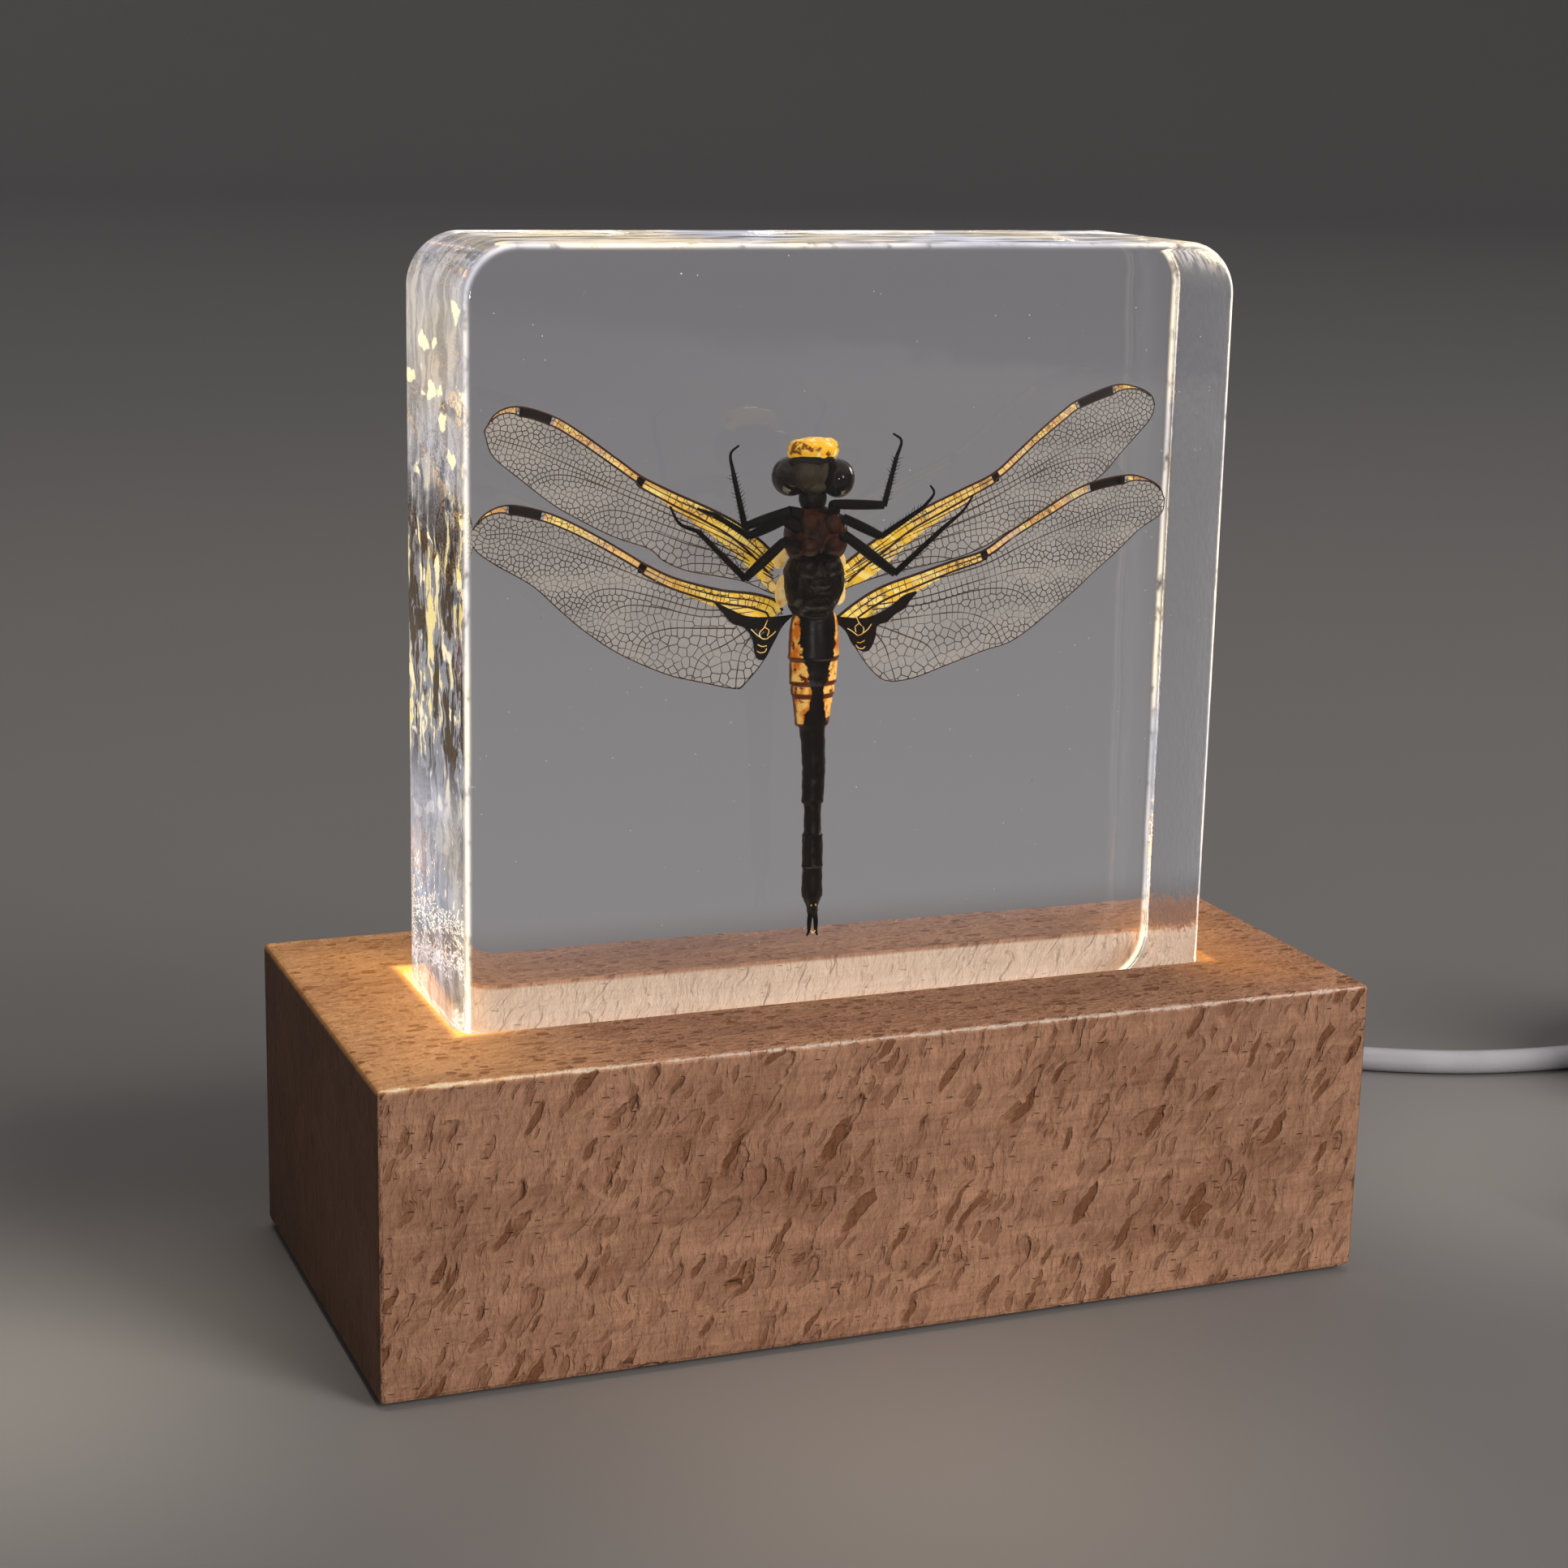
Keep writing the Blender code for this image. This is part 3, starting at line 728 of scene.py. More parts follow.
@dataclass(frozen=True)
class BeechFinish:
    """Bare sanded beech: ray flecks seen edge on, fine pores, saw lines and a torn front edge, with
    painted light and shade.
    """

    half_width: float
    front: float
    top: float
    pocket: Flat
    name: str = "bare_beech"
    light: Colour = (0.59, 0.325, 0.202)
    dark: Colour = (0.36, 0.183, 0.112)
    fleck: Colour = (0.17, 0.055, 0.016)
    pore: Colour = (0.12, 0.055, 0.03)
    # The pale colour of the pocket's walls: painted light from the window below.
    pocket_lit_colour: Colour = (0.88, 0.70, 0.56)
    torn: Colour = (0.74, 0.60, 0.52)
    # The orange glow round the pocket's lip: painted light.
    glow: Colour = (1.0, 0.36, 0.05)

    def paint(self) -> Material:
        """Make the material; its places are in millimetres."""
        paint = Paint(self.name)
        wood = paint.bent(5.0, (3.6, 0.2, 1.4))

        masks = []
        for sizes, reach, share, turn in (((5.2, 0.8, 1.15), 0.52, 0.62, -58),
                                          ((2.8, 0.6, 0.75), 0.50, 0.42, -64),
                                          ((5.0, 0.8, 1.9), 0.75, 0.15, -58)):
            distance, pick = paint.cells(paint.frame_of(wood, sizes, (0, turn, 0)))
            edge = paint.times(paint.fade(pick, share, 1.0), reach)
            masks.append(paint.fade(paint.minus(distance, edge), 0.03, -0.09))
        flecks = paint.maths("MAXIMUM", masks[0], paint.times(masks[1], 0.6))

        grain = paint.noise(paint.frame_of(wood, (30, 1.1, 1.4)), 4.0, 0.6)
        broad = paint.noise(paint.frame_of(wood, (22, 9, 8)), 3.0)
        stroke = paint.noise(paint.frame_of(wood, (3.0, 0.6, 0.75), (0, -64, 0)), 4.0, 0.6, 0.4)
        comb = paint.cloud((0.45, 0.6, 1.8), 3.0, 0.6)
        saw = paint.cloud((40, 30, 0.5), 2.0, 0.5)
        pores, pick = paint.cells(paint.frame_of(paint.coords, (2.2, 0.55, 0.55)))
        pores = paint.fade(paint.plus(pores, paint.times(pick, 0.2)), 0.22, 0.10)
        tone = paint.plus(paint.times(grain, 0.35), paint.times(broad, 0.45), paint.times(stroke, 0.4))
        colour = paint.ramp(paint.fade(tone, 0.42, 0.80), [(0.0, self.dark), (1.0, self.light)])
        x, y, z = paint.axes()
        # Both end faces are painted darker and without flecks: painted shade.
        end = paint.fade(paint.magnitude(x), (self.half_width - 0.35), (self.half_width - 0.1))
        flecks = paint.times(flecks, paint.minus(1.0, end))
        for mask, share, stain in ((masks[2], 0.2, self.fleck), (pores, 0.45, self.pore),
                                   (flecks, 0.72, self.fleck), (end, 0.6, self.pore)):
            colour = paint.blend(paint.times(mask, share), colour, stain)
        rise = paint.cloud((1.6, 3, 3), 4.0, 0.7)
        gap = paint.maths("MAXIMUM", paint.plus(y, -self.front), paint.minus(self.top, z))
        torn = paint.fade(paint.minus(gap, paint.times(rise, 0.75)), 0.0, -0.2)
        colour = paint.blend(torn, colour, self.torn)

        # The pocket's walls are painted pale: painted light from the window below.
        reach_x = paint.minus(paint.magnitude(x), self.pocket[0])
        reach_y = paint.minus(paint.magnitude(y), self.pocket[1])
        deep = paint.times(paint.fade(reach_y, 0.3, 0.1),
                           paint.fade(reach_x, 0.3, 0.1),
                           paint.fade(z, self.top - 0.2, self.top - 0.6))
        colour = paint.blend(deep, colour, self.pocket_lit_colour)
        # Painted light: an orange glow round the pocket's lip, strongest at the left end, spilt faintly
        # over the top face near both ends of the block.
        lip = paint.maths("MAXIMUM", reach_x, reach_y)
        side = paint.plus(paint.fade(x, -30.0, -38.5, 0.03, 1.0),
                          paint.fade(x, 36.0, 38.5, 0.0, 0.25))
        halo = paint.times(paint.maths("POWER", paint.fade(lip, 1.3, -0.3), 2.5),
                           paint.fade(z, self.top - 6.0, self.top - 0.5, 0.5, 1.0), side)
        upside = paint.fade(z, self.top - 0.6, self.top - 0.2)
        spill = paint.times(paint.fade(lip, 11.0, 0.0, 0.0, 0.10),
                            paint.fade(paint.magnitude(x), 30.0, 40.0), upside)
        halo = paint.plus(halo, spill)
        # A painted pool of warm light over the whole top face, strongest towards the left end, and a
        # faint glow on the pocket's walls.
        level = paint.plus(paint.fade(x, -18.0, -42.0, 0.085, 0.28),
                           paint.fade(x, 24.0, 42.0, 0.0, 0.07))
        level = paint.plus(paint.times(level, upside), paint.times(deep, 0.07))
        warm = paint.blend(paint.fade(x, -42.0, -18.0), (1.0, 0.84, 0.36), (1.0, 0.82, 0.64))
        lit = paint.blend(1.0, paint.blend(1.0, colour, warm, "MULTIPLY"), level, "MULTIPLY")
        rim = paint.blend(halo, (0.0, 0.0, 0.0), self.glow)
        paint.set(Base_Color=colour, Specular_IOR_Level=0.3,
                  Roughness=paint.fade(grain, 0.3, 0.7, 0.52, 0.68),
                  Emission_Color=paint.blend(1.0, rim, lit, "ADD"),
                  Emission_Strength=1.8)
        height = paint.plus(paint.times(saw, 0.3), paint.times(comb, 0.45), paint.times(stroke, 1.3))
        for mask, depth in ((flecks, 0.5), (masks[2], 0.6), (pores, 0.4)):
            height = paint.minus(height, paint.times(mask, depth))
        paint.bump(height, 0.5, 0.9)
        return paint.material


@dataclass(frozen=True)
class WindowFinish:
    """The frosted window over the LEDs: a warm light, brightest over each LED."""

    pitch: float
    name: str = "lit_frosted_acrylic"
    edge: Colour = (1.0, 0.80, 0.52)
    middle: Colour = (1.0, 0.93, 0.80)
    strength: float = 9.0

    def paint(self) -> Material:
        """Make the material; the pitch of the LEDs is in metres."""
        paint = Paint(self.name, lamp=True)
        x, y, _ = paint.split(paint.coords)
        place = paint.maths("FRACT", paint.maths("DIVIDE", x, self.pitch))
        along = paint.magnitude(paint.minus(place, 0.5))
        across = paint.magnitude(paint.maths("DIVIDE", y, self.pitch))
        distance = paint.maths("SQRT", paint.plus(paint.maths("POWER", along, 2.0),
                                                  paint.maths("POWER", across, 2.0)))
        frost = paint.cloud((0.8, 0.8, 0.8), 3.0)
        spot = paint.fade(paint.plus(distance, paint.times(frost, 0.08)), 0.5, 0.12)
        paint.set(Base_Color=(0.93, 0.92, 0.88), Roughness=paint.fade(frost, 0.3, 0.7, 0.45, 0.6),
                  Emission_Color=paint.blend(spot, tuple(0.45 * c for c in self.edge), self.middle),
                  Emission_Strength=self.strength)
        paint.bump(frost, 0.02)
        return paint.material


@dataclass(frozen=True)
class ChipFinish:
    """An LED package: a lit yellow middle in a white frame, repeated at the LEDs' pitch."""

    pitch: float
    name: str = "led_package"

    def paint(self) -> Material:
        """Make the material; the pitch is in metres."""
        paint = Paint(self.name)
        x, y, _ = paint.split(paint.coords)
        place = paint.minus(paint.maths("FRACT", paint.maths("DIVIDE", x, self.pitch)), 0.5)
        along = paint.times(paint.magnitude(place), self.pitch)
        distance = paint.maths("SQRT", paint.plus(paint.maths("POWER", along, 2.0),
                                                  paint.maths("POWER", y, 2.0)))
        lit = paint.fade(distance, 2.1 * MM, 1.7 * MM)
        grain = paint.cloud((0.3, 0.3, 0.3))
        paint.set(Base_Color=paint.blend(lit, (0.85, 0.84, 0.80), (0.90, 0.66, 0.16)),
                  Roughness=paint.fade(grain, 0.3, 0.7, 0.3, 0.45),
                  Emission_Color=paint.blend(lit, (0.0, 0.0, 0.0), (1.0, 0.78, 0.42)),
                  Emission_Strength=6.0)
        return paint.material


@dataclass(frozen=True)
class AbdomenFinish:
    """The abdomen's skin: a black band down the middle, and amber sides on its wide upper part that
    glow with painted light.
    """

    middle: float
    name: str = "abdomen_skin"
    black: Colour = (0.004, 0.002, 0.0015)
    amber: Colour = (0.60, 0.15, 0.006)
    pale: Colour = (0.98, 0.55, 0.13)
    brown: Colour = (0.085, 0.016, 0.003)
    rims: Sequence[float] = (60.8, 58.5, 57.3, 54.4)

    def paint(self) -> Material:
        """Make the material; the place of the body's middle is in millimetres."""
        paint = Paint(self.name)
        x, y, z = paint.axes()
        wave = paint.cloud((1.3, 1.3, 1.0), 3.0, 0.6)
        off = paint.magnitude(paint.minus(x, self.middle))
        off = paint.plus(off, paint.times(paint.minus(wave, 0.5), 0.9))
        half = paint.plus(paint.fade(z, 57.6, 62.8, 0.6, 1.75), paint.fade(z, 57.2, 54.6, 0.0, 0.6))
        side = paint.fade(paint.minus(off, half), -0.06, 0.10)
        high = paint.fade(paint.plus(z, paint.times(wave, 1.4)), 53.4, 54.4)
        front = paint.fade(y, 1.8, 1.0)
        mask = paint.times(paint.times(side, high), front)
        blot = paint.cloud((0.9, 1.5, 1.5), 2.0)
        lit = paint.blend(paint.fade(blot, 0.38, 0.58), self.amber, self.pale)
        for rim in self.rims:
            gap = paint.magnitude(paint.minus(z, rim))
            lit = paint.blend(paint.fade(gap, 0.34, 0.16), lit, self.brown)
        lit = paint.blend(paint.fade(y, -0.75, -0.3), lit, self.brown)
        lit = paint.blend(paint.fade(wave, 0.46, 0.38), lit, self.brown)
        # The amber sides also glow: painted light that stands for the light shining through them.
        paint.set(Base_Color=paint.blend(mask, self.black, lit), Roughness=0.32,
                  Emission_Color=paint.blend(mask, (0.0, 0.0, 0.0), lit), Emission_Strength=0.5,
                  Specular_IOR_Level=0.12)
        paint.bump(wave, 0.05)
        return paint.material


@dataclass(frozen=True)
class GlowFinish:
    """A part of the insect that the light shines through, painted to glow: amber, paler in places."""

    name: str
    deep: Colour
    middle: Colour
    pale: Colour
    strength: float
    cell: Point = (1.2, 1.2, 1.2)
    sheen: float = 0.35

    def paint(self) -> Material:
        """Make the material."""
        paint = Paint(self.name)
        cloud = paint.cloud(self.cell, 3.0, 0.6, 0.3)
        colour = paint.ramp(cloud, [(0.37, self.deep), (0.45, self.middle), (0.56, self.middle),
                                    (0.68, self.pale)])
        paint.set(Base_Color=colour, Roughness=paint.fade(cloud, 0.3, 0.7, 0.28, 0.4),
                  Emission_Color=colour, Emission_Strength=self.strength,
                  Specular_IOR_Level=self.sheen)
        paint.bump(cloud, 0.06)
        return paint.material


@dataclass(frozen=True)
class FilmFinish:
    """The clear film of a wing: faintly smoky and iridescent, with little wrinkles and a faint painted
    glow.
    """

    name: str = "wing_film"
    colour: Colour = (0.62, 0.57, 0.50)
    cover: Flat = (0.20, 0.32)

    def paint(self) -> Material:
        """Make the material."""
        paint = Paint(self.name)
        wrinkle = paint.cloud((0.9, 0.9, 0.5), 3.0, 0.6, 0.8)
        cloud = paint.cloud((6, 6, 4), 2.0)
        colour = paint.blend(paint.fade(cloud, 0.35, 0.65), self.colour, (0.68, 0.62, 0.55))
        paint.set(Base_Color=colour, Roughness=paint.fade(wrinkle, 0.3, 0.7, 0.18, 0.35),
                  Alpha=paint.fade(cloud, 0.3, 0.7, *self.cover), Specular_IOR_Level=0.25,
                  Emission_Color=colour, Emission_Strength=0.20)
        paint.bump(wrinkle, 0.04)
        return paint.material


@dataclass(frozen=True)
class StripFinish:
    """The stained film between a wing's leading veins: yellow at the body, cream towards the tip,
    painted to glow.
    """

    half_span: float
    middle: float
    name: str = "stained_strip"

    def paint(self) -> Material:
        """Make the material; the wing's reach from the body's middle is in millimetres."""
        paint = Paint(self.name)
        x, _, _ = paint.axes()
        out = paint.magnitude(paint.minus(x, self.middle))
        span = paint.maths("DIVIDE", out, self.half_span)
        streak = paint.cloud((4.0, 1.0, 0.5), 3.0, 0.6, turn=(0, 25, 0))
        place = paint.plus(span, paint.times(paint.minus(streak, 0.5), 0.3))
        colour = paint.ramp(place, [
            (0.05, (0.88, 0.56, 0.05)),
            (0.25, (0.82, 0.50, 0.04)),
            (0.42, (0.80, 0.48, 0.09)),
            (0.60, (0.84, 0.50, 0.20)),
            (1.0, (0.58, 0.29, 0.09)),
        ])
        shade = paint.cloud((5.0, 1.0, 0.7), 3.0, 0.6, turn=(0, 28, 0))
        colour = paint.blend(paint.fade(shade, 0.46, 0.66), colour, (0.96, 0.76, 0.24))
        colour = paint.blend(paint.fade(shade, 0.40, 0.28), colour, (0.50, 0.24, 0.02))
        paint.set(Base_Color=colour, Roughness=0.3, Alpha=paint.fade(span, 0.15, 0.6, 0.95, 0.72),
                  Emission_Color=colour, Emission_Strength=0.5, Specular_IOR_Level=0.2)
        paint.bump(streak, 0.03)
        return paint.material


@dataclass(frozen=True)
class FloorFinish:
    """The plain pale surface that the object stands on, with a faint mottle."""

    name: str = "studio_floor"
    colour: Colour = (0.31, 0.303, 0.302)

    def paint(self) -> Material:
        """Make the material."""
        paint = Paint(self.name)
        cloud = paint.cloud((40, 40, 40), 4.0, 0.5)
        lighter = tuple(1.04 * channel for channel in self.colour)
        paint.set(Base_Color=paint.blend(cloud, self.colour, lighter), Roughness=0.6,
                  Specular_IOR_Level=0.3)
        return paint.material


# ---- The studio ----


@dataclass(frozen=True)
class SoftBox:
    """One soft lamp, aimed at the block."""

    name: str
    place: Point
    size: Flat
    energy: float
    colour: Colour = (1.0, 1.0, 1.0)
    glossy: bool = True
    diffuse: bool = True
    aim: Point = (0.0, 0.0, 0.055)

    def build(self) -> None:
        """Put the lamp in the scene."""
        data = bpy.data.lights.new(self.name, "AREA")
        data.shape = "RECTANGLE"
        data.size, data.size_y = self.size
        data.energy = self.energy
        data.color = self.colour
        lamp = new_object(self.name, data)
        lamp.location = self.place
        lamp.rotation_euler = (Vector(self.aim) - lamp.location).to_track_quat("-Z", "Y").to_euler()
        lamp.visible_glossy = self.glossy
        lamp.visible_diffuse = self.diffuse


@dataclass(frozen=True)
class FloorPool:
    """A small soft pool of warm light on the floor beside the base."""

    name: str
    centre: Flat
    radius: float
    energy: float
    colour: Colour
    height: float = 0.4

    def build(self) -> None:
        """Put the lamp straight above its pool."""
        data = bpy.data.lights.new(self.name, "SPOT")
        data.energy = self.energy
        data.color = self.colour
        data.spot_size = 2 * math.atan(self.radius / self.height)
        data.spot_blend = 1.0
        data.shadow_soft_size = 0.03
        lamp = new_object(self.name, data)
        lamp.location = (*self.centre, self.height)


@dataclass
class Studio:
    """The camera, the lamps, and a pale floor that rises to a rim all round."""

    camera_place: Point = (-0.1057, -0.25645, 0.11405)
    heading: float = -21.783
    tilt: float = 76.505
    roll: float = 1.228
    lens: float = 68.055
    floor_radius: float = 2.4
    rim_radius: float = 1.2
    rim_steps: int = 16
    wall_height: float = 1.8
    world_left: Colour = (0.074, 0.070, 0.072)
    world_right: Colour = (0.335, 0.322, 0.329)

    def build_camera(self) -> None:
        """Set the camera where the object was seen from."""
        data = bpy.data.cameras.new("viewpoint")
        data.lens = self.lens
        data.sensor_width = 36.0
        data.clip_start = 0.01
        camera = new_object("viewpoint", data)
        turn = (Matrix.Rotation(math.radians(self.heading), 4, "Z")
                @ Matrix.Rotation(math.radians(self.tilt), 4, "X")
                @ Matrix.Rotation(math.radians(self.roll), 4, "Z"))
        camera.matrix_world = Matrix.Translation(self.camera_place) @ turn
        bpy.context.scene.camera = camera

    def build_floor(self) -> None:
        """Turn the floor's profile round the object: flat, then curving up into a wall."""
        profile = [(0.0, 0.0), (self.floor_radius, 0.0)]
        for step in range(1, self.rim_steps + 1):
            angle = math.pi / 2 * step / self.rim_steps
            profile.append((self.floor_radius + self.rim_radius * math.sin(angle),
                            self.rim_radius * (1 - math.cos(angle))))
        profile.append((self.floor_radius + self.rim_radius, self.wall_height))
        work = bmesh.new()
        points = [work.verts.new((radius, 0, height)) for radius, height in profile]
        edges = [work.edges.new(pair) for pair in zip(points, points[1:])]
        bmesh.ops.spin(work, geom=points + edges, cent=(0, 0, 0), axis=(0, 0, 1),
                       angle=2 * math.pi, steps=64, use_merge=True)
        bmesh.ops.remove_doubles(work, verts=work.verts, dist=1e-5)
        mesh = bpy.data.meshes.new("studio_floor")
        work.to_mesh(mesh)
        work.free()
        mesh.shade_smooth()
        mesh.materials.append(FloorFinish().paint())
        floor = new_object("studio_floor", mesh)

    def build_light(self) -> None:
        """Set the soft lamps, the pools of light on the floor and a dim surround that is darker towards
        -X.
        """
        boxes = [
            SoftBox("key", (0.72, -1.16, 0.60), (0.60, 0.6), 14.6, (1.0, 0.94, 0.88), glossy=False),
            SoftBox("glint", (-0.19, -0.46, 0.10), (0.05, 0.05), 0.5, diffuse=False),
            SoftBox("back", (-0.02, 0.40, 0.42), (0.3, 0.2), 0.12, (1.0, 0.82, 0.56)),
        ]
        pools = [
            FloorPool("pool_front", (-0.008, -0.050), 0.032, 3.4, (1.0, 0.76, 0.54)),
            FloorPool("pool_right", (0.084, -0.004), 0.024, 4.8, (1.0, 0.92, 0.78)),
            FloorPool("pool_left", (-0.082, -0.008), 0.032, 4.6, (1.0, 0.90, 0.74)),
        ]
        for box in boxes:
            box.build()
        for pool in pools:
            pool.build()
        surround = bpy.data.worlds.new("surround")
        surround.use_nodes = True
        sheet = Sheet(surround.node_tree)
        direction = sheet.node("ShaderNodeTexCoord").outputs["Generated"]
        level = sheet.fade(sheet.split(direction)[0], -0.7, 0.5)
        shade = surround.node_tree.nodes["Background"]
        sheet.feed(shade.inputs["Color"], sheet.blend(level, self.world_left, self.world_right))
        scene = bpy.context.scene
        scene.world = surround
        scene.view_settings.view_transform = "Standard"
        scene.view_settings.look = "None"
        scene.cycles.transparent_max_bounces = 16
        scene.cycles.max_bounces = 9
        scene.cycles.transmission_bounces = 9
        scene.cycles.diffuse_bounces = 3
        scene.cycles.caustics_reflective = False
        scene.cycles.caustics_refractive = False


# ---- The lead ----


@dataclass
class Lead:
    """The white lead: from its boot along the surface, round its coil, and on to its plug."""

    diameter: float = 2.8 * MM
    pitch: float = 2.9 * MM
    columns: int = 3
    layers: int = 4
    inner_turn: float = 11.6 * MM
    centre: Point = (131.0 * MM, 4.0 * MM, 0.0)
    lift: float = 1.0 * MM
    turns: float = 10.25
    shift: float = 0.13
    route: Sequence[Point] = (
        (0.0220, 0.0336, 0.00700), (0.0223, 0.0385, 0.00660), (0.0246, 0.0446, 0.00480),
        (0.0305, 0.0502, 0.00250), (0.0395, 0.0530, 0.00150), (0.0500, 0.0518, 0.00145),
        (0.0605, 0.0470, 0.00145), (0.0700, 0.0398, 0.00145), (0.0780, 0.0332, 0.00145),
        (0.0855, 0.0283, 0.00145), (0.0940, 0.0246, 0.00145), (0.1035, 0.0226, 0.00145),
        (0.1140, 0.0218, 0.00160), (0.1230, 0.0215, 0.00210),
    )
    tail: Sequence[Point] = (
        (0.1479, -0.0028, 0.01040), (0.1456, -0.0096, 0.00890), (0.1412, -0.0154, 0.00700),
        (0.1354, -0.0196, 0.00520), (0.1295, -0.0220, 0.00420), (0.1260, -0.0229, 0.00400),
    )

    def coil_points(self) -> list[Vector]:
        """The coil's turns: each in its own place in the ring, with an eased step to the next.

        Returns:
            Points along the turns, from where the lead arrives to where it leaves.
        """
        places = self.columns * self.layers
        share = self.turns / places
        outer = self.inner_turn + (self.columns - 1) * self.pitch
        samples = round(self.turns * 32)

        def slot(index: int) -> Flat:
            """The radius and the height of one place in the ring."""
            layer, column = divmod(min(index, places - 1), self.columns)
            inwards = column if layer % 2 == 0 else self.columns - 1 - column
            return outer - inwards * self.pitch, self.lift + (layer + 0.5) * self.pitch

        points = []
        for step in range(samples + 1):
            turn = self.turns * step / samples
            index = int(turn / share + 0.5)
            ease = min(1.0, max(0.0, (turn - index * share) / self.shift + 0.5))
            ease = ease * ease * (3 - 2 * ease)
            before, after = slot(max(index - 1, 0)), slot(index)
            radius = before[0] + (after[0] - before[0]) * ease
            height = before[1] + (after[1] - before[1]) * ease
            angle = math.pi / 2 - 2 * math.pi * turn
            points.append(Vector((self.centre[0] + radius * math.cos(angle),
                                  self.centre[1] + radius * math.sin(angle), height)))
        return points

    def build(self, finish: Material) -> None:
        knots = [Vector(point) for point in self.route]
        knots += self.coil_points()
        knots += [Vector(point) for point in self.tail]
        points = smooth_line(knots, 2.0 * MM)
        curve = bpy.data.curves.new("usb_lead", "CURVE")
        curve.dimensions = "3D"
        curve.bevel_depth = self.diameter / 2
        curve.bevel_resolution = 4
        curve.use_fill_caps = True
        spline = curve.splines.new("POLY")
        spline.points.add(len(points) - 1)
        for place, point in zip(spline.points, points):
            place.co = (*point, 1.0)
        spline.use_smooth = True
        curve.materials.append(finish)
        lead = new_object("usb_lead", curve)
        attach(lead, "root")
        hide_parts("cable", "cable_coil", "cable_tail")


# ---- The block and what lies in it besides the insect ----


@dataclass
class ResinBlock:
    """The polished slab: flat faces, round corners and softened edges."""

    corner: float = 5.0
    edge: float = 0.8
    corner_steps: int = 20
    edge_steps: int = 6

    def outline(self, width: float, height: float, inset: float) -> list[Flat]:
        """The slab's outline in its own plane, drawn in by an inset, round its middle.

        Args:
            width: Its whole width.
            height: Its whole height.
            inset: How far inside the outer face the line runs.

        Returns:
            Points anticlockwise from the right side.
        """
        radius = self.corner - inset
        points = []
        for quarter in range(4):
            sign_x = 1 if quarter in (0, 3) else -1
            sign_z = 1 if quarter in (0, 1) else -1
            for step in range(self.corner_steps + 1):
                angle = math.pi / 2 * (quarter + step / self.corner_steps)
                points.append((sign_x * (width / 2 - self.corner) + radius * math.cos(angle),
                               sign_z * (height / 2 - self.corner) + radius * math.sin(angle)))
        return points

    def build(self, finish: Material) -> None:
        """Build the slab of clear resin on the CAD block's own box."""
        low, high = (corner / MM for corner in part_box("resin_block"))
        middle = (low + high) / 2
        size = high - low
        rings: list[list[Vector]] = []
        steps = [math.pi / 2 * step / self.edge_steps for step in range(self.edge_steps + 1)]
        for side in (-1, 1):
            angles = steps if side == -1 else reversed(steps)
            for angle in angles:
                inset = self.edge * (1 - math.sin(angle))
                depth = side * (size.y / 2 - self.edge * (1 - math.cos(angle)))
                rings.append([Vector((middle.x + x, middle.y + depth, middle.z + z))
                              for x, z in self.outline(size.x, size.z, inset)])
        draft = Draft()
        draft.loft(rings)
        mesh = draft.mesh("clear_block", 0.0)
        for name, turns in (("softened_edge", [math.sin(2 * angle) for angle in steps]),
                            ("narrow_side", [math.sin(angle) ** 6 for angle in steps])):
            values = [value for value in turns + turns[::-1] for _ in rings[0]]
            mesh.attributes.new(name, "FLOAT", "POINT").data.foreach_set("value", values)
        block = add_piece("clear_block", mesh, finish, 30.0, ["resin_block"])
        block.visible_shadow = False


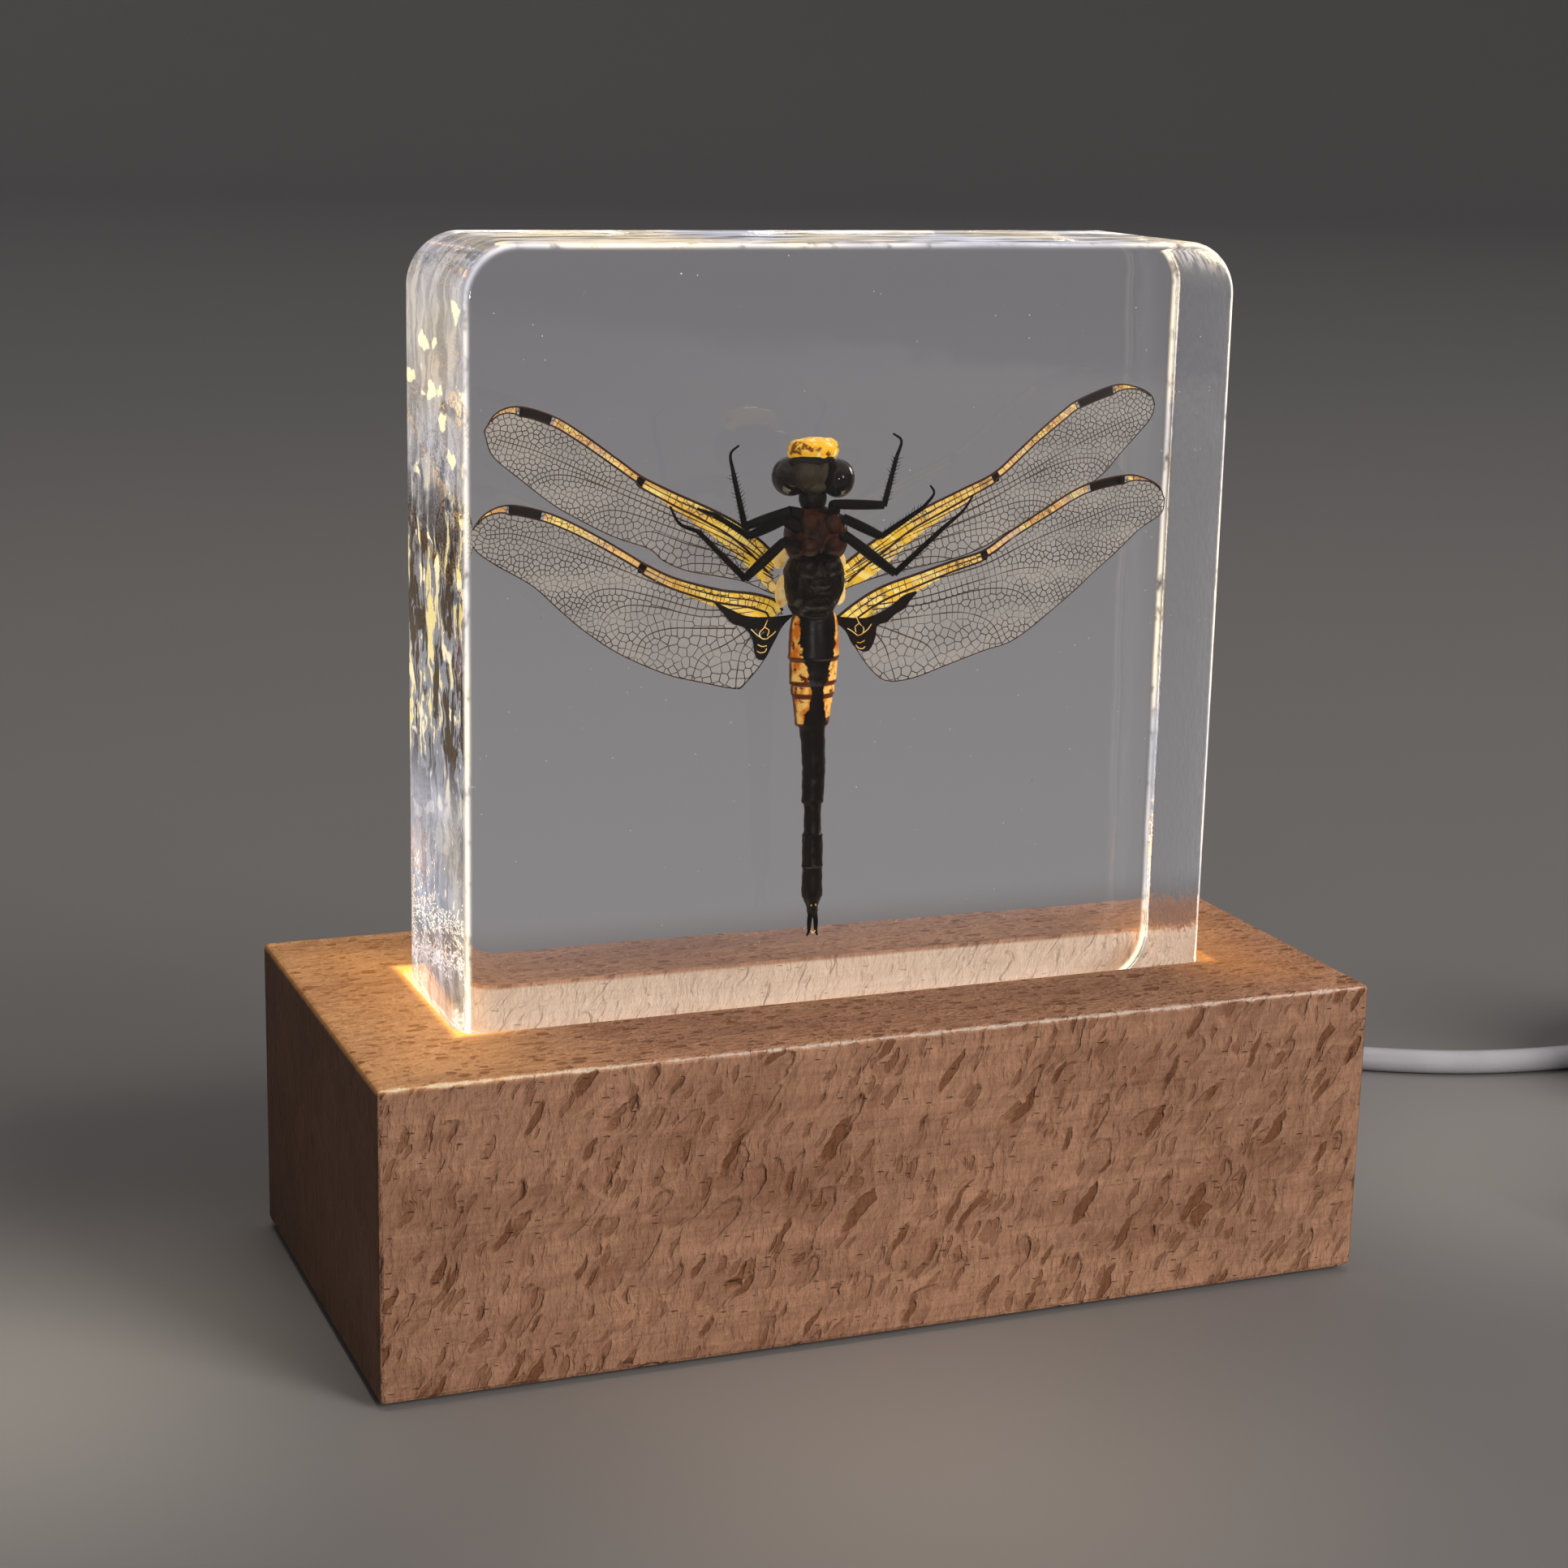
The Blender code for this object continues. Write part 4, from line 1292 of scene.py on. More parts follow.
@dataclass
class Inclusions:
    """Specks and flakes of dust and short fibres that were sealed in the resin."""

    margin: float = 1.2

    def scatter_recipe(self) -> Recipe:
        """A tree that fills a box with small uneven grains."""
        recipe = Recipe("scattered_specks")
        count = recipe.socket("Count", "NodeSocketInt")
        low = recipe.socket("Low Corner", "NodeSocketVector")
        high = recipe.socket("High Corner", "NodeSocketVector")
        size = recipe.socket("Size", "NodeSocketFloat")
        stretch = recipe.socket("Stretch", "NodeSocketVector")
        seed = recipe.socket("Seed", "NodeSocketInt")
        places = recipe.node("FunctionNodeRandomValue", {"Min": low, "Max": high, "Seed": seed},
                             data_type="FLOAT_VECTOR")
        points = recipe.node("GeometryNodePoints", {"Count": count,
                                                    "Position": places.outputs["Value"]})
        grain = recipe.node("GeometryNodeMeshIcoSphere", {"Radius": 1.0, "Subdivisions": 2})
        turn = recipe.node("FunctionNodeRandomValue", {"Max": (math.tau,) * 3, "Seed": seed},
                           data_type="FLOAT_VECTOR")
        vary = recipe.node("FunctionNodeRandomValue", {2: 0.25, 3: 1.0, "Seed": seed},
                           data_type="FLOAT")
        scaled = recipe.node("ShaderNodeMath", {0: size, 1: vary.outputs[1]}, operation="MULTIPLY")
        scale = recipe.node("ShaderNodeVectorMath", {0: stretch, "Scale": scaled.outputs[0]},
                            operation="SCALE")
        put = recipe.node("GeometryNodeInstanceOnPoints", {
            "Points": points.outputs["Points"], "Instance": grain.outputs["Mesh"],
            "Rotation": turn.outputs["Value"], "Scale": scale.outputs["Vector"]})
        recipe.close(put.outputs["Instances"])
        return recipe

    def build(self, dust: Material, fibre: Material) -> None:
        """Fill the block with its specks.

        Args:
            dust: The finish of the pale specks.
            fibre: The finish of the short fibres.
        """
        recipe = self.scatter_recipe()
        low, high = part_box("resin_block")
        inset = Vector((self.margin, self.margin, self.margin)) * MM
        kinds = [
            ("dust_specks", 190, 0.075 * MM, (1.0, 0.8, 0.7), 11, dust),
            ("dust_flakes", 26, 0.13 * MM, (1.0, 0.5, 0.35), 5, dust),
            ("short_fibres", 16, 0.55 * MM, (1.0, 0.045, 0.045), 23, fibre),
        ]
        for name, count, size, stretch, seed, finish in kinds:
            values = {"Count": count, "Low Corner": low + inset, "High Corner": high - inset,
                      "Size": size, "Stretch": stretch, "Seed": seed, "Finish": finish}
            mesh = recipe.run(name, bpy.data.meshes.new(name), values)
            add_piece(name, mesh, finish)


# ---- The dragonfly ----


@dataclass(frozen=True)
class Skins:
    """The insect's materials."""

    chitin: Material
    thorax: Material
    eye: Material
    face: Material
    mouth: Material
    abdomen: Material
    leg: Material
    film: Material
    strip: Material
    mark: Material
    vein: Material
    rib: Material
    pale: Material


@dataclass
class Head:
    """The head from below: two great eyes, a lit yellow face, dark mouthparts and the neck."""

    def build(self, skins: Skins) -> None:
        """Build the head's pieces."""
        eyes = [
            Lump((-4.75, -0.7, 77.95), (1.85, 2.1, 1.85), 12),
            Lump((-0.15, -0.7, 77.65), (1.65, 2.1, 1.85), -12),
        ]
        case = [
            Lump((-2.5, 0.2, 78.2), (2.3, 2.2, 1.9)),
            Lump((-2.5, -0.6, 75.9), (1.35, 1.3, 1.5)),
            Lump((-2.7, -0.9, 79.3), (2.1, 1.7, 1.2)),
        ]
        face = [
            Lump((-2.85, -1.7, 80.45), (2.45, 1.7, 1.15)),
            Lump((-4.35, -1.6, 80.35), (1.0, 1.3, 1.05)),
            Lump((-1.35, -1.6, 80.45), (1.0, 1.3, 1.05)),
            Lump((-2.3, -2.7, 79.75), (0.55, 0.5, 0.45)),
        ]
        mouth = [
            Lump((-3.1, -2.3, 79.55), (2.2, 1.05, 0.55)),
            Lump((-4.5, -1.9, 79.4), (0.8, 0.9, 0.6)),
            Lump((-1.5, -1.9, 79.5), (0.7, 0.9, 0.6)),
        ]
        labium = [
            Lump((-3.7, -2.55, 78.3), (1.45, 0.85, 1.5)),
            Lump((-2.2, -2.45, 78.4), (0.65, 0.7, 1.35), 10),
            Lump((-2.9, -2.3, 77.0), (1.25, 0.7, 0.6)),
        ]
        add_lumps("dragonfly_eyes", eyes, skins.eye, 0.09, 3)
        add_lumps("dragonfly_head_case", case, skins.chitin, 0.1, 4, 0.03)
        add_lumps("dragonfly_face", face, skins.face, 0.07, 4, 0.04)
        add_lumps("dragonfly_jaws", mouth, skins.chitin, 0.07, 4, 0.04)
        add_lumps("dragonfly_labium", labium, skins.mouth, 0.07, 3, 0.03)


@dataclass
class Thorax:
    """The thorax from below: two deep boxes of muscle under plates, with the leg sockets."""

    middle: float = -2.25

    def build(self, skins: Skins) -> None:
        """Build the thorax and its sockets."""
        upper = [
            Lump((self.middle, -0.6, 72.6), (2.95, 3.0, 2.6)),
            Lump((self.middle - 1.45, -1.2, 72.5), (1.6, 2.3, 2.5), 8),
            Lump((self.middle + 1.45, -1.2, 72.5), (1.6, 2.3, 2.5), -8),
            Lump((self.middle - 1.2, -3.1, 73.6), (1.0, 0.8, 1.0)),
            Lump((self.middle + 1.2, -3.1, 73.6), (1.0, 0.8, 1.0)),
            Lump((self.middle - 1.2, -3.3, 71.6), (1.05, 0.8, 0.95)),
            Lump((self.middle + 1.25, -3.3, 71.6), (1.05, 0.8, 0.95)),
            Lump((self.middle, -3.0, 72.5), (0.5, 0.7, 1.6)),
        ]
        lower = [
            Lump((self.middle, -0.2, 68.5), (2.8, 3.1, 3.0)),
            Lump((self.middle, -0.2, 66.4), (2.4, 2.6, 2.1)),
            Lump((self.middle - 1.7, -0.8, 68.2), (1.2, 2.1, 2.6)),
            Lump((self.middle + 1.7, -0.8, 68.2), (1.2, 2.1, 2.6)),
            Lump((self.middle - 1.2, -2.7, 69.6), (1.05, 0.8, 0.9)),
            Lump((self.middle + 1.2, -2.7, 69.6), (1.05, 0.8, 0.9)),
            Lump((self.middle, -2.9, 68.2), (1.2, 0.6, 0.7)),
            Lump((self.middle, -2.5, 66.3), (1.5, 0.7, 0.8)),
            Lump((self.middle, -2.1, 65.1), (1.2, 0.8, 0.5)),
        ]
        hinges = [
            Lump((self.middle - 2.75, 0.5, 67.2), (0.75, 0.5, 1.6), 8),
            Lump((self.middle - 2.95, 0.9, 70.2), (0.6, 0.5, 1.0), 20),
            Lump((self.middle + 2.75, 0.5, 67.2), (0.75, 0.5, 1.6), -8),
            Lump((self.middle + 2.95, 0.9, 69.8), (0.6, 0.5, 1.0), -20),
        ]
        add_lumps("dragonfly_wing_hinges", hinges, skins.pale, 0.09, 3, 0.05)
        add_lumps("dragonfly_thorax_front", upper, skins.thorax, 0.1, 3, 0.07)
        add_lumps("dragonfly_thorax_rear", lower, skins.chitin, 0.1, 3, 0.07)


@dataclass
class Abdomen:
    """The abdomen: ten ringed segments, wide at the base, and two claspers at the tip."""

    sections: Sequence[tuple[float, float, float]] = (
        (65.2, -1.95, 1.9), (64.5, -1.95, 2.25), (63.0, -1.95, 2.4), (60.9, -1.92, 2.5),
        (60.7, -1.92, 2.35), (58.6, -1.95, 2.3), (58.4, -1.95, 2.15), (57.4, -1.95, 2.12),
        (57.2, -1.95, 2.02), (54.9, -1.95, 1.72), (54.4, -1.95, 1.62), (54.2, -1.9, 1.3),
        (50.6, -1.7, 1.14), (47.1, -1.72, 1.08), (46.8, -1.72, 0.88), (44.0, -1.68, 0.86),
        (43.6, -1.66, 1.0), (40.8, -1.6, 1.04), (40.5, -1.6, 0.98), (38.2, -1.58, 1.04),
        (37.6, -1.56, 0.92), (36.7, -1.52, 0.62), (36.2, -1.5, 0.5), (35.6, -1.5, 0.42),
    )
    rims: Sequence[float] = (60.8, 58.5, 57.3, 54.3, 50.7, 46.95, 43.8, 40.65, 37.7, 36.3)
    rim_height: float = 0.07
    rim_reach: float = 0.13
    keel: float = 0.12
    sides: int = 28
    depth: float = 0.88

    def build(self, skins: Skins) -> None:
        """Build the rings of the body, the raised rim of each segment, the claspers and glints painted
        at the tip.
        """
        rows = smooth_line([Vector((x, half, z)) for z, x, half in self.sections], 0.22)
        turns = [math.tau * step / self.sides for step in range(self.sides)]
        rings = []
        for row in rows:
            half = row.y + sum(self.rim_height * math.exp(-((row.z - rim) / self.rim_reach) ** 2)
                               for rim in self.rims)
            rings.append([Vector((row.x + half * math.cos(angle),
                                  (half * self.depth + self.keel * max(0.0, -math.sin(angle)) ** 6)
                                  * math.sin(angle), row.z)) for angle in turns])
        draft = Draft()
        draft.loft(rings)
        mesh = draft.mesh("dragonfly_abdomen")
        roughen_mesh(mesh, 0.07)
        add_piece("dragonfly_abdomen", mesh, skins.abdomen, sharp=50)

        claspers = Draft()
        for side in Side:
            line = [Vector((-1.5 + side.value * 0.2, -0.1, 36.2)),
                    Vector((-1.5 + side.value * 0.32, -0.15, 35.2)),
                    Vector((-1.5 + side.value * 0.36, -0.15, 34.3)),
                    Vector((-1.5 + side.value * 0.55, -0.1, 33.75))]
            path = smooth_line(line, 0.15)
            radii = [0.26 * (1 - 0.75 * (i / (len(path) - 1)) ** 3) for i in range(len(path))]
            claspers.tube(path, radii, 10)
        add_draft("dragonfly_claspers", claspers, skins.leg)

        # Small pale glowing strokes near the tip: painted glints.
        glints = Draft()
        for x, z, lean in ((-1.72, 36.95, 0.25), (-1.38, 36.95, -0.25), (-1.62, 34.2, -0.35),
                           (-1.38, 34.2, 0.35)):
            path = [Vector((x - lean * 0.3, -0.62 if z > 36 else -0.42, z - 0.14)),
                    Vector((x + lean * 0.3, -0.66 if z > 36 else -0.44, z + 0.14))]
            glints.tube(path, [0.07, 0.05], 6)
        add_draft("dragonfly_tail_glints", glints, skins.pale)


@dataclass(frozen=True)
class Leg:
    """One leg's joints from its socket to its claw, and the radius of each part, in millimetres."""

    joints: Sequence[Point]
    thick: float = 0.47


@dataclass
class Legs:
    """Six black legs folded forward, with hip pieces, spines and hooked feet."""

    pairs: Sequence[Leg] = (
        Leg(((-4.3, -2.6, 74.6), (-5.6, -3.4, 75.0), (-10.0, -4.0, 73.8), (-11.2, -4.0, 78.7),
             (-11.5, -4.0, 80.4), (-10.7, -4.0, 81.2))),
        Leg(((-4.5, -2.8, 73.4), (-6.0, -3.4, 74.2), (-9.6, -4.0, 72.9), (-13.0, -4.0, 75.0),
             (-14.6, -4.0, 75.6))),
        Leg(((-4.5, -2.8, 71.6), (-6.0, -3.4, 72.2), (-9.9, -4.0, 69.0), (-14.5, -4.0, 73.5),
             (-16.3, -4.0, 74.3), (-17.2, -4.0, 75.9)), 0.5),
        Leg(((-0.9, -2.6, 74.8), (-1.2, -3.4, 75.5), (3.7, -4.0, 75.3), (4.8, -4.0, 79.7),
             (5.25, -4.0, 81.2), (4.4, -4.0, 81.9))),
        Leg(((-0.6, -2.8, 73.4), (-0.2, -3.4, 74.2), (3.5, -4.0, 72.4), (7.6, -4.0, 74.9),
             (8.7, -4.0, 76.2), (8.3, -4.0, 77.0))),
        Leg(((-0.6, -2.8, 71.6), (0.0, -3.4, 72.6), (5.0, -4.0, 68.9), (9.8, -4.0, 73.0),
             (11.7, -4.0, 74.5), (12.7, -4.0, 75.9)), 0.5),
    )
    spine_gap: float = 0.34

    def build(self, skins: Skins) -> None:
        """Build all the legs as one piece and their spines as another."""
        rng = random.Random(7)
        limbs, spines = Draft(), Draft()
        for leg in self.pairs:
            joints = [Vector(joint) for joint in leg.joints]
            hip, knee, ankle = joints[0], joints[2], joints[3]
            limbs.tube([hip, joints[1]], [leg.thick * 1.3, leg.thick * 1.05], 12)
            thigh = resample([joints[1], knee], 0.3)
            count = len(thigh) - 1
            limbs.tube(thigh, [leg.thick * (0.92 + 0.16 * math.sin(math.pi * i / count)
                                            - 0.12 * i / count) for i in range(count + 1)], 12)
            shin = resample([knee + (knee - ankle).normalized() * 0.1, ankle], 0.4)
            limbs.tube(shin, self.taper(leg.thick * 0.66, leg.thick * 0.46, len(shin)), 10)
            foot = smooth_line(joints[3:], 0.22)
            limbs.tube(foot, self.taper(leg.thick * 0.42, leg.thick * 0.2, len(foot)), 8)
            for start, end, reach in ((joints[1], knee, 0.45), (knee, ankle, 0.62)):
                self.add_spines(spines, start, end, leg.thick, reach, rng)
        add_draft("dragonfly_legs", limbs, skins.leg, FINE_WELD)
        add_draft("dragonfly_leg_spines", spines, skins.leg, FINE_WELD)

    def taper(self, start: float, end: float, count: int) -> list[float]:
        """Radii that go evenly from one size to another."""
        return [start + (end - start) * index / max(1, count - 1) for index in range(count)]

    def add_spines(self, draft: Draft, start: Vector, end: Vector, thick: float, reach: float,
                   rng: random.Random) -> None:
        """Draw the spines that stand off one part of a leg.

        Args:
            draft: Where they are drawn.
            start: Where the part begins.
            end: Where it ends.
            thick: The leg's radius.
            reach: How long the spines are.
            rng: The source of their small differences.
        """
        ahead = (end - start).normalized()
        across = Vector((-ahead.z, 0.0, ahead.x))
        count = int((end - start).length / self.spine_gap)
        for index in range(1, count):
            for side in (-1, 1):
                root = start.lerp(end, (index + 0.3 * rng.random()) / count)
                lean = across * side + ahead * 0.7 + Vector((0, rng.uniform(-0.6, 0.3), 0))
                tip = root + lean.normalized() * (thick * 0.5 + reach * rng.uniform(0.5, 1.0))
                draft.tube([root, root.lerp(tip, 0.6), tip], [0.045, 0.032, 0.008], 5)


@dataclass(frozen=True)
class WingPlan:
    """One wing's outline and the places of its marks, in millimetres in the block's plane."""

    name: str
    side: Side
    leading: Sequence[Flat]
    trailing: Sequence[Flat]
    nodus: float
    stigma: Flat
    depth: float
    hind: bool
    patch: Sequence[Flat] = ()


WINGS = (
    WingPlan(
        "left_fore", Side.LEFT,
        ((-5.0, 70.0), (-6.9, 71.8), (-9.3, 73.6), (-12.2, 75.1), (-15.3, 76.5), (-18.5, 78.1),
         (-20.6, 79.6), (-24.1, 82.1), (-26.8, 83.7), (-29.9, 84.6), (-31.9, 84.1), (-33.1, 82.5)),
        ((-33.1, 82.5), (-32.3, 80.3), (-29.9, 78.2), (-27.2, 76.1), (-25.5, 75.0), (-21.3, 72.8),
         (-17.8, 71.5), (-16.3, 70.3), (-14.0, 69.3), (-11.1, 68.7), (-8.5, 68.1), (-5.8, 66.9),
         (-5.0, 66.9)),
        -18.5, (-26.7, -29.9), 1.9, False),
    WingPlan(
        "left_hind", Side.LEFT,
        ((-4.8, 65.3), (-5.6, 66.3), (-7.8, 67.0), (-11.1, 67.5), (-15.3, 68.7), (-18.2, 70.1),
         (-19.2, 70.7), (-22.0, 72.4), (-25.3, 74.2), (-28.0, 75.3), (-31.1, 75.9), (-33.3, 75.1),
         (-34.5, 73.4)),
        ((-34.5, 73.4), (-34.1, 72.0), (-32.3, 70.6), (-28.9, 68.6), (-26.4, 66.3), (-23.7, 64.0),
         (-20.4, 61.8), (-16.0, 59.8), (-12.3, 58.8), (-9.8, 58.2), (-8.9, 58.1), (-8.2, 58.8),
         (-6.5, 60.8), (-5.0, 63.6), (-4.6, 64.3)),
        -18.3, (-27.8, -31.1), 1.2, True,
        ((-3.6, 64.9), (-5.6, 64.75), (-8.2, 64.9), (-9.9, 65.6), (-11.6, 66.4), (-10.6, 65.2),
         (-9.8, 64.3), (-8.7, 63.9), (-7.9, 63.0), (-7.6, 61.9), (-7.3, 60.9), (-6.5, 60.8),
         (-5.8, 62.0), (-4.9, 63.7))),
    WingPlan(
        "right_fore", Side.RIGHT,
        ((0.9, 68.9), (3.2, 70.6), (4.95, 71.7), (7.4, 73.3), (9.9, 74.5), (13.3, 75.9),
         (16.4, 77.3), (18.5, 78.9), (21.0, 81.1), (23.4, 82.9), (25.2, 84.1), (29.0, 85.4),
         (31.3, 85.2), (33.0, 84.4), (33.5, 83.4)),
        ((33.5, 83.4), (33.2, 82.3), (31.5, 80.4), (30.0, 78.8), (28.1, 76.9), (26.0, 75.4),
         (22.5, 73.4), (18.5, 71.8), (16.2, 70.6), (13.5, 69.6), (10.0, 68.9), (6.0, 68.2),
         (2.5, 67.3), (0.8, 66.6)),
        16.5, (25.1, 29.0), 1.9, False),
    WingPlan(
        "right_hind", Side.RIGHT,
        ((0.6, 64.3), (2.5, 65.7), (5.0, 67.0), (8.65, 68.1), (12.3, 69.2), (15.6, 70.1),
         (18.5, 71.9), (22.2, 74.0), (26.2, 76.0), (30.3, 76.8), (32.4, 76.5), (34.2, 75.6),
         (34.9, 74.3)),
        ((34.9, 74.3), (34.5, 72.9), (32.2, 71.4), (29.2, 68.9), (25.4, 65.8), (22.3, 63.4),
         (18.9, 61.2), (16.0, 60.4), (12.0, 59.2), (8.7, 58.2), (6.2, 58.0), (4.8, 58.7),
         (3.2, 60.6), (1.5, 63.2), (0.5, 64.0)),
        15.5, (26.4, 30.5), 1.2, True,
        ((-0.9, 64.7), (1.3, 64.4), (3.4, 64.2), (4.9, 64.6), (6.2, 65.3), (7.4, 66.2),
         (8.8, 66.5), (8.1, 65.7), (7.5, 64.9), (6.6, 64.4), (5.8, 63.7), (4.8, 63.4), (4.6, 62.4),
         (4.1, 61.2), (3.4, 61.0), (2.3, 61.7), (1.3, 63.3))),
)

FORE_VEINS = (
    ((0.02, 0.34), (0.15, 0.30), (0.35, 0.24), (0.50, 0.30), (0.66, 0.42), (0.80, 0.52), (0.93, 0.62)),
    ((0.02, 0.42), (0.20, 0.36), (0.42, 0.36), (0.56, 0.42), (0.68, 0.55), (0.76, 0.75), (0.80, 1.0)),
    ((0.02, 0.55), (0.18, 0.50), (0.34, 0.48), (0.50, 0.60), (0.58, 0.78), (0.62, 1.0)),
    ((0.02, 0.62), (0.16, 0.60), (0.30, 0.62), (0.42, 0.74), (0.48, 1.0)),
    ((0.06, 0.72), (0.16, 0.78), (0.26, 0.86), (0.32, 1.0)),
)
HIND_VEINS = (
    ((0.30, 0.12), (0.42, 0.14), (0.55, 0.20), (0.70, 0.32), (0.84, 0.40), (0.93, 0.48)),
    ((0.10, 0.20), (0.26, 0.24), (0.42, 0.28), (0.54, 0.40), (0.62, 0.62), (0.66, 1.0)),
    ((0.12, 0.26), (0.26, 0.31), (0.40, 0.36), (0.50, 0.50), (0.56, 0.72), (0.59, 1.0)),
    ((0.18, 0.40), (0.28, 0.44), (0.38, 0.54), (0.45, 0.74), (0.48, 1.0)),
    ((0.14, 0.46), (0.22, 0.56), (0.29, 0.74), (0.33, 1.0)),
    ((0.12, 0.50), (0.17, 0.66), (0.20, 0.84), (0.21, 1.0)),
)


PATCH_CENTRES = {Side.LEFT: (-6.6, 0.0, 63.3), Side.RIGHT: (2.9, 0.0, 63.2)}


@dataclass
class Wing:
    """One wing: its film, the stained strip, the marks, the strong veins and the fine net."""

    plan: WingPlan
    seed: int
    coarse: float = 0.82
    fine: float = 0.44
    line_step: float = 0.35
    bucket: float = 1.2
    tries: int = 16000
    film_rows: int = 26
    film_columns: int = 8
    film_thickness: float = 0.03

    def __post_init__(self) -> None:
        """Draw the two edges."""
        self.leading = self.edge_line(self.plan.leading)
        self.trailing = self.edge_line(self.plan.trailing)[::-1]
        self.outline = self.leading + self.trailing[::-1][1:]

    def edge_line(self, points: Sequence[Flat]) -> list[Vector]:
        """A smooth line through an edge's points, in the wing's plane."""
        return smooth_line([Vector((x, 0.0, z)) for x, z in points], self.line_step)

    def lift(self, point: Vector) -> Vector:
        """A point of the wing's plane, put on the wing's gently waved surface."""
        out = abs(point.x + 2.0)
        wave = 0.10 * math.sin(point.z * 1.7 + self.seed) + 0.0007 * out * out
        return Vector((point.x, self.plan.depth + wave, point.z))

    def at(self, span: float, chord: float) -> Vector:
        """The place at a share of the span and a share of the way to the trailing edge."""
        first = self.leading[round(span * (len(self.leading) - 1))]
        second = self.trailing[round(span * (len(self.trailing) - 1))]
        return first.lerp(second, chord)

    def inside(self, point: Vector) -> bool:
        """Whether a point of the plane is within the outline."""
        hit = False
        for first, second in zip(self.outline, self.outline[1:] + self.outline[:1]):
            if (first.z > point.z) != (second.z > point.z):
                cross = first.x + (point.z - first.z) / (second.z - first.z) * (second.x - first.x)
                if point.x < cross:
                    hit = not hit
        return hit

    def span_of(self, point: Vector) -> float:
        """How far out a point is, from 0 at the body to 1 at the tip."""
        root, tip = self.plan.leading[0][0], self.plan.leading[-1][0]
        return min(1.0, max(0.0, (point.x - root) / (tip - root)))

    def cell(self, point: Vector) -> float:
        """The size of the net's cells at a point: wide near the body, fine towards the tip."""
        share = min(1.0, max(0.0, (self.span_of(point) - 0.18) / 0.55))
        share = share * share * (3 - 2 * share)
        return self.coarse + (self.fine - self.coarse) * share

    def strong_veins(self) -> list[list[Vector]]:
        """The lines of the strong veins across the wing."""
        table = HIND_VEINS if self.plan.hind else FORE_VEINS
        return [smooth_line([self.at(*pair) for pair in vein], 0.2) for vein in table]

    def inner_line(self, share: float = 1.0) -> list[Vector]:
        """The line inside the leading edge that closes the stained strip.

        Args:
            share: How far across the strip, 1 at its inner side.

        Returns:
            As many points as the leading edge has.
        """
        points = []
        count = len(self.leading) - 1
        for index, point in enumerate(self.leading):
            ahead = self.leading[min(index + 1, count)] - self.leading[max(index - 1, 0)]
            inward = Vector((-ahead.z, 0.0, ahead.x)).normalized()
            if inward.z > 0:
                inward.negate()
            points.append(point + inward * (self.strip_width(point) * share))
        return points

    def strip_width(self, point: Vector) -> float:
        """The width of the stained strip at a point of the leading edge."""
        out = abs(point.x + 2.2)
        nodus = abs(self.plan.nodus + 2.2)
        mark = (abs(self.plan.stigma[0] + 2.2), abs(self.plan.stigma[1] + 2.2))
        if out < nodus:
            share = out / nodus
            return (1.55 if self.plan.hind else 1.75) * (1 - share) + 0.85 * share
        if out < mark[0]:
            return 0.62 + 0.18 * (out - nodus) / (mark[0] - nodus)
        if out < mark[1]:
            return 0.82
        return max(0.12, 0.7 - 0.22 * (out - mark[1]))

    def sites(self) -> list[Vector]:
        """The middles of the net's cells: in pairs along the strong veins, scattered between.

        Returns:
            Points of the wing's plane, with a fringe just outside the outline.
        """
        rng = random.Random(self.seed)
        kept: list[Vector] = []
        buckets: dict[tuple[int, int], list[Vector]] = {}

        def bucket_of(point: Vector) -> tuple[int, int]:
            """The square that a point falls in."""
            return int(point.x // self.bucket), int(point.z // self.bucket)

        def free(point: Vector, reach: float) -> bool:
            """Whether no site is within reach of a point."""
            column, row = bucket_of(point)
            for i in range(column - 1, column + 2):
                for j in range(row - 1, row + 2):
                    if any((other - point).length < reach for other in buckets.get((i, j), ())):
                        return False
            return True

        def keep(point: Vector) -> None:
            """Take a site."""
            kept.append(point)
            buckets.setdefault(bucket_of(point), []).append(point)

        lines = self.strong_veins() + [self.inner_line()]
        for line in lines:
            travelled = 0.0
            for first, second in zip(line, line[1:]):
                travelled += (second - first).length
                size = self.cell(first)
                if travelled < size * 0.8:
                    continue
                travelled = 0.0
                ahead = (second - first).normalized()
                across = Vector((-ahead.z, 0.0, ahead.x)) * (size * 0.42)
                for side in (-1, 1):
                    point = first + across * side
                    if self.inside(point) and free(point, size * 0.62):
                        keep(point)
        xs = [point.x for point in self.outline]
        zs = [point.z for point in self.outline]
        for _ in range(self.tries):
            point = Vector((rng.uniform(min(xs), max(xs)), 0.0, rng.uniform(min(zs), max(zs))))
            if self.inside(point) and free(point, self.cell(point) * 0.84):
                keep(point)
        for first, second in zip(self.outline[::2], self.outline[2::2]):
            ahead = second - first
            outward = Vector((ahead.z, 0.0, -ahead.x)).normalized() * 0.35
            if self.inside(first + outward):
                outward.negate()
            point = first + outward
            if free(point, 0.3):
                keep(point)
        return kept

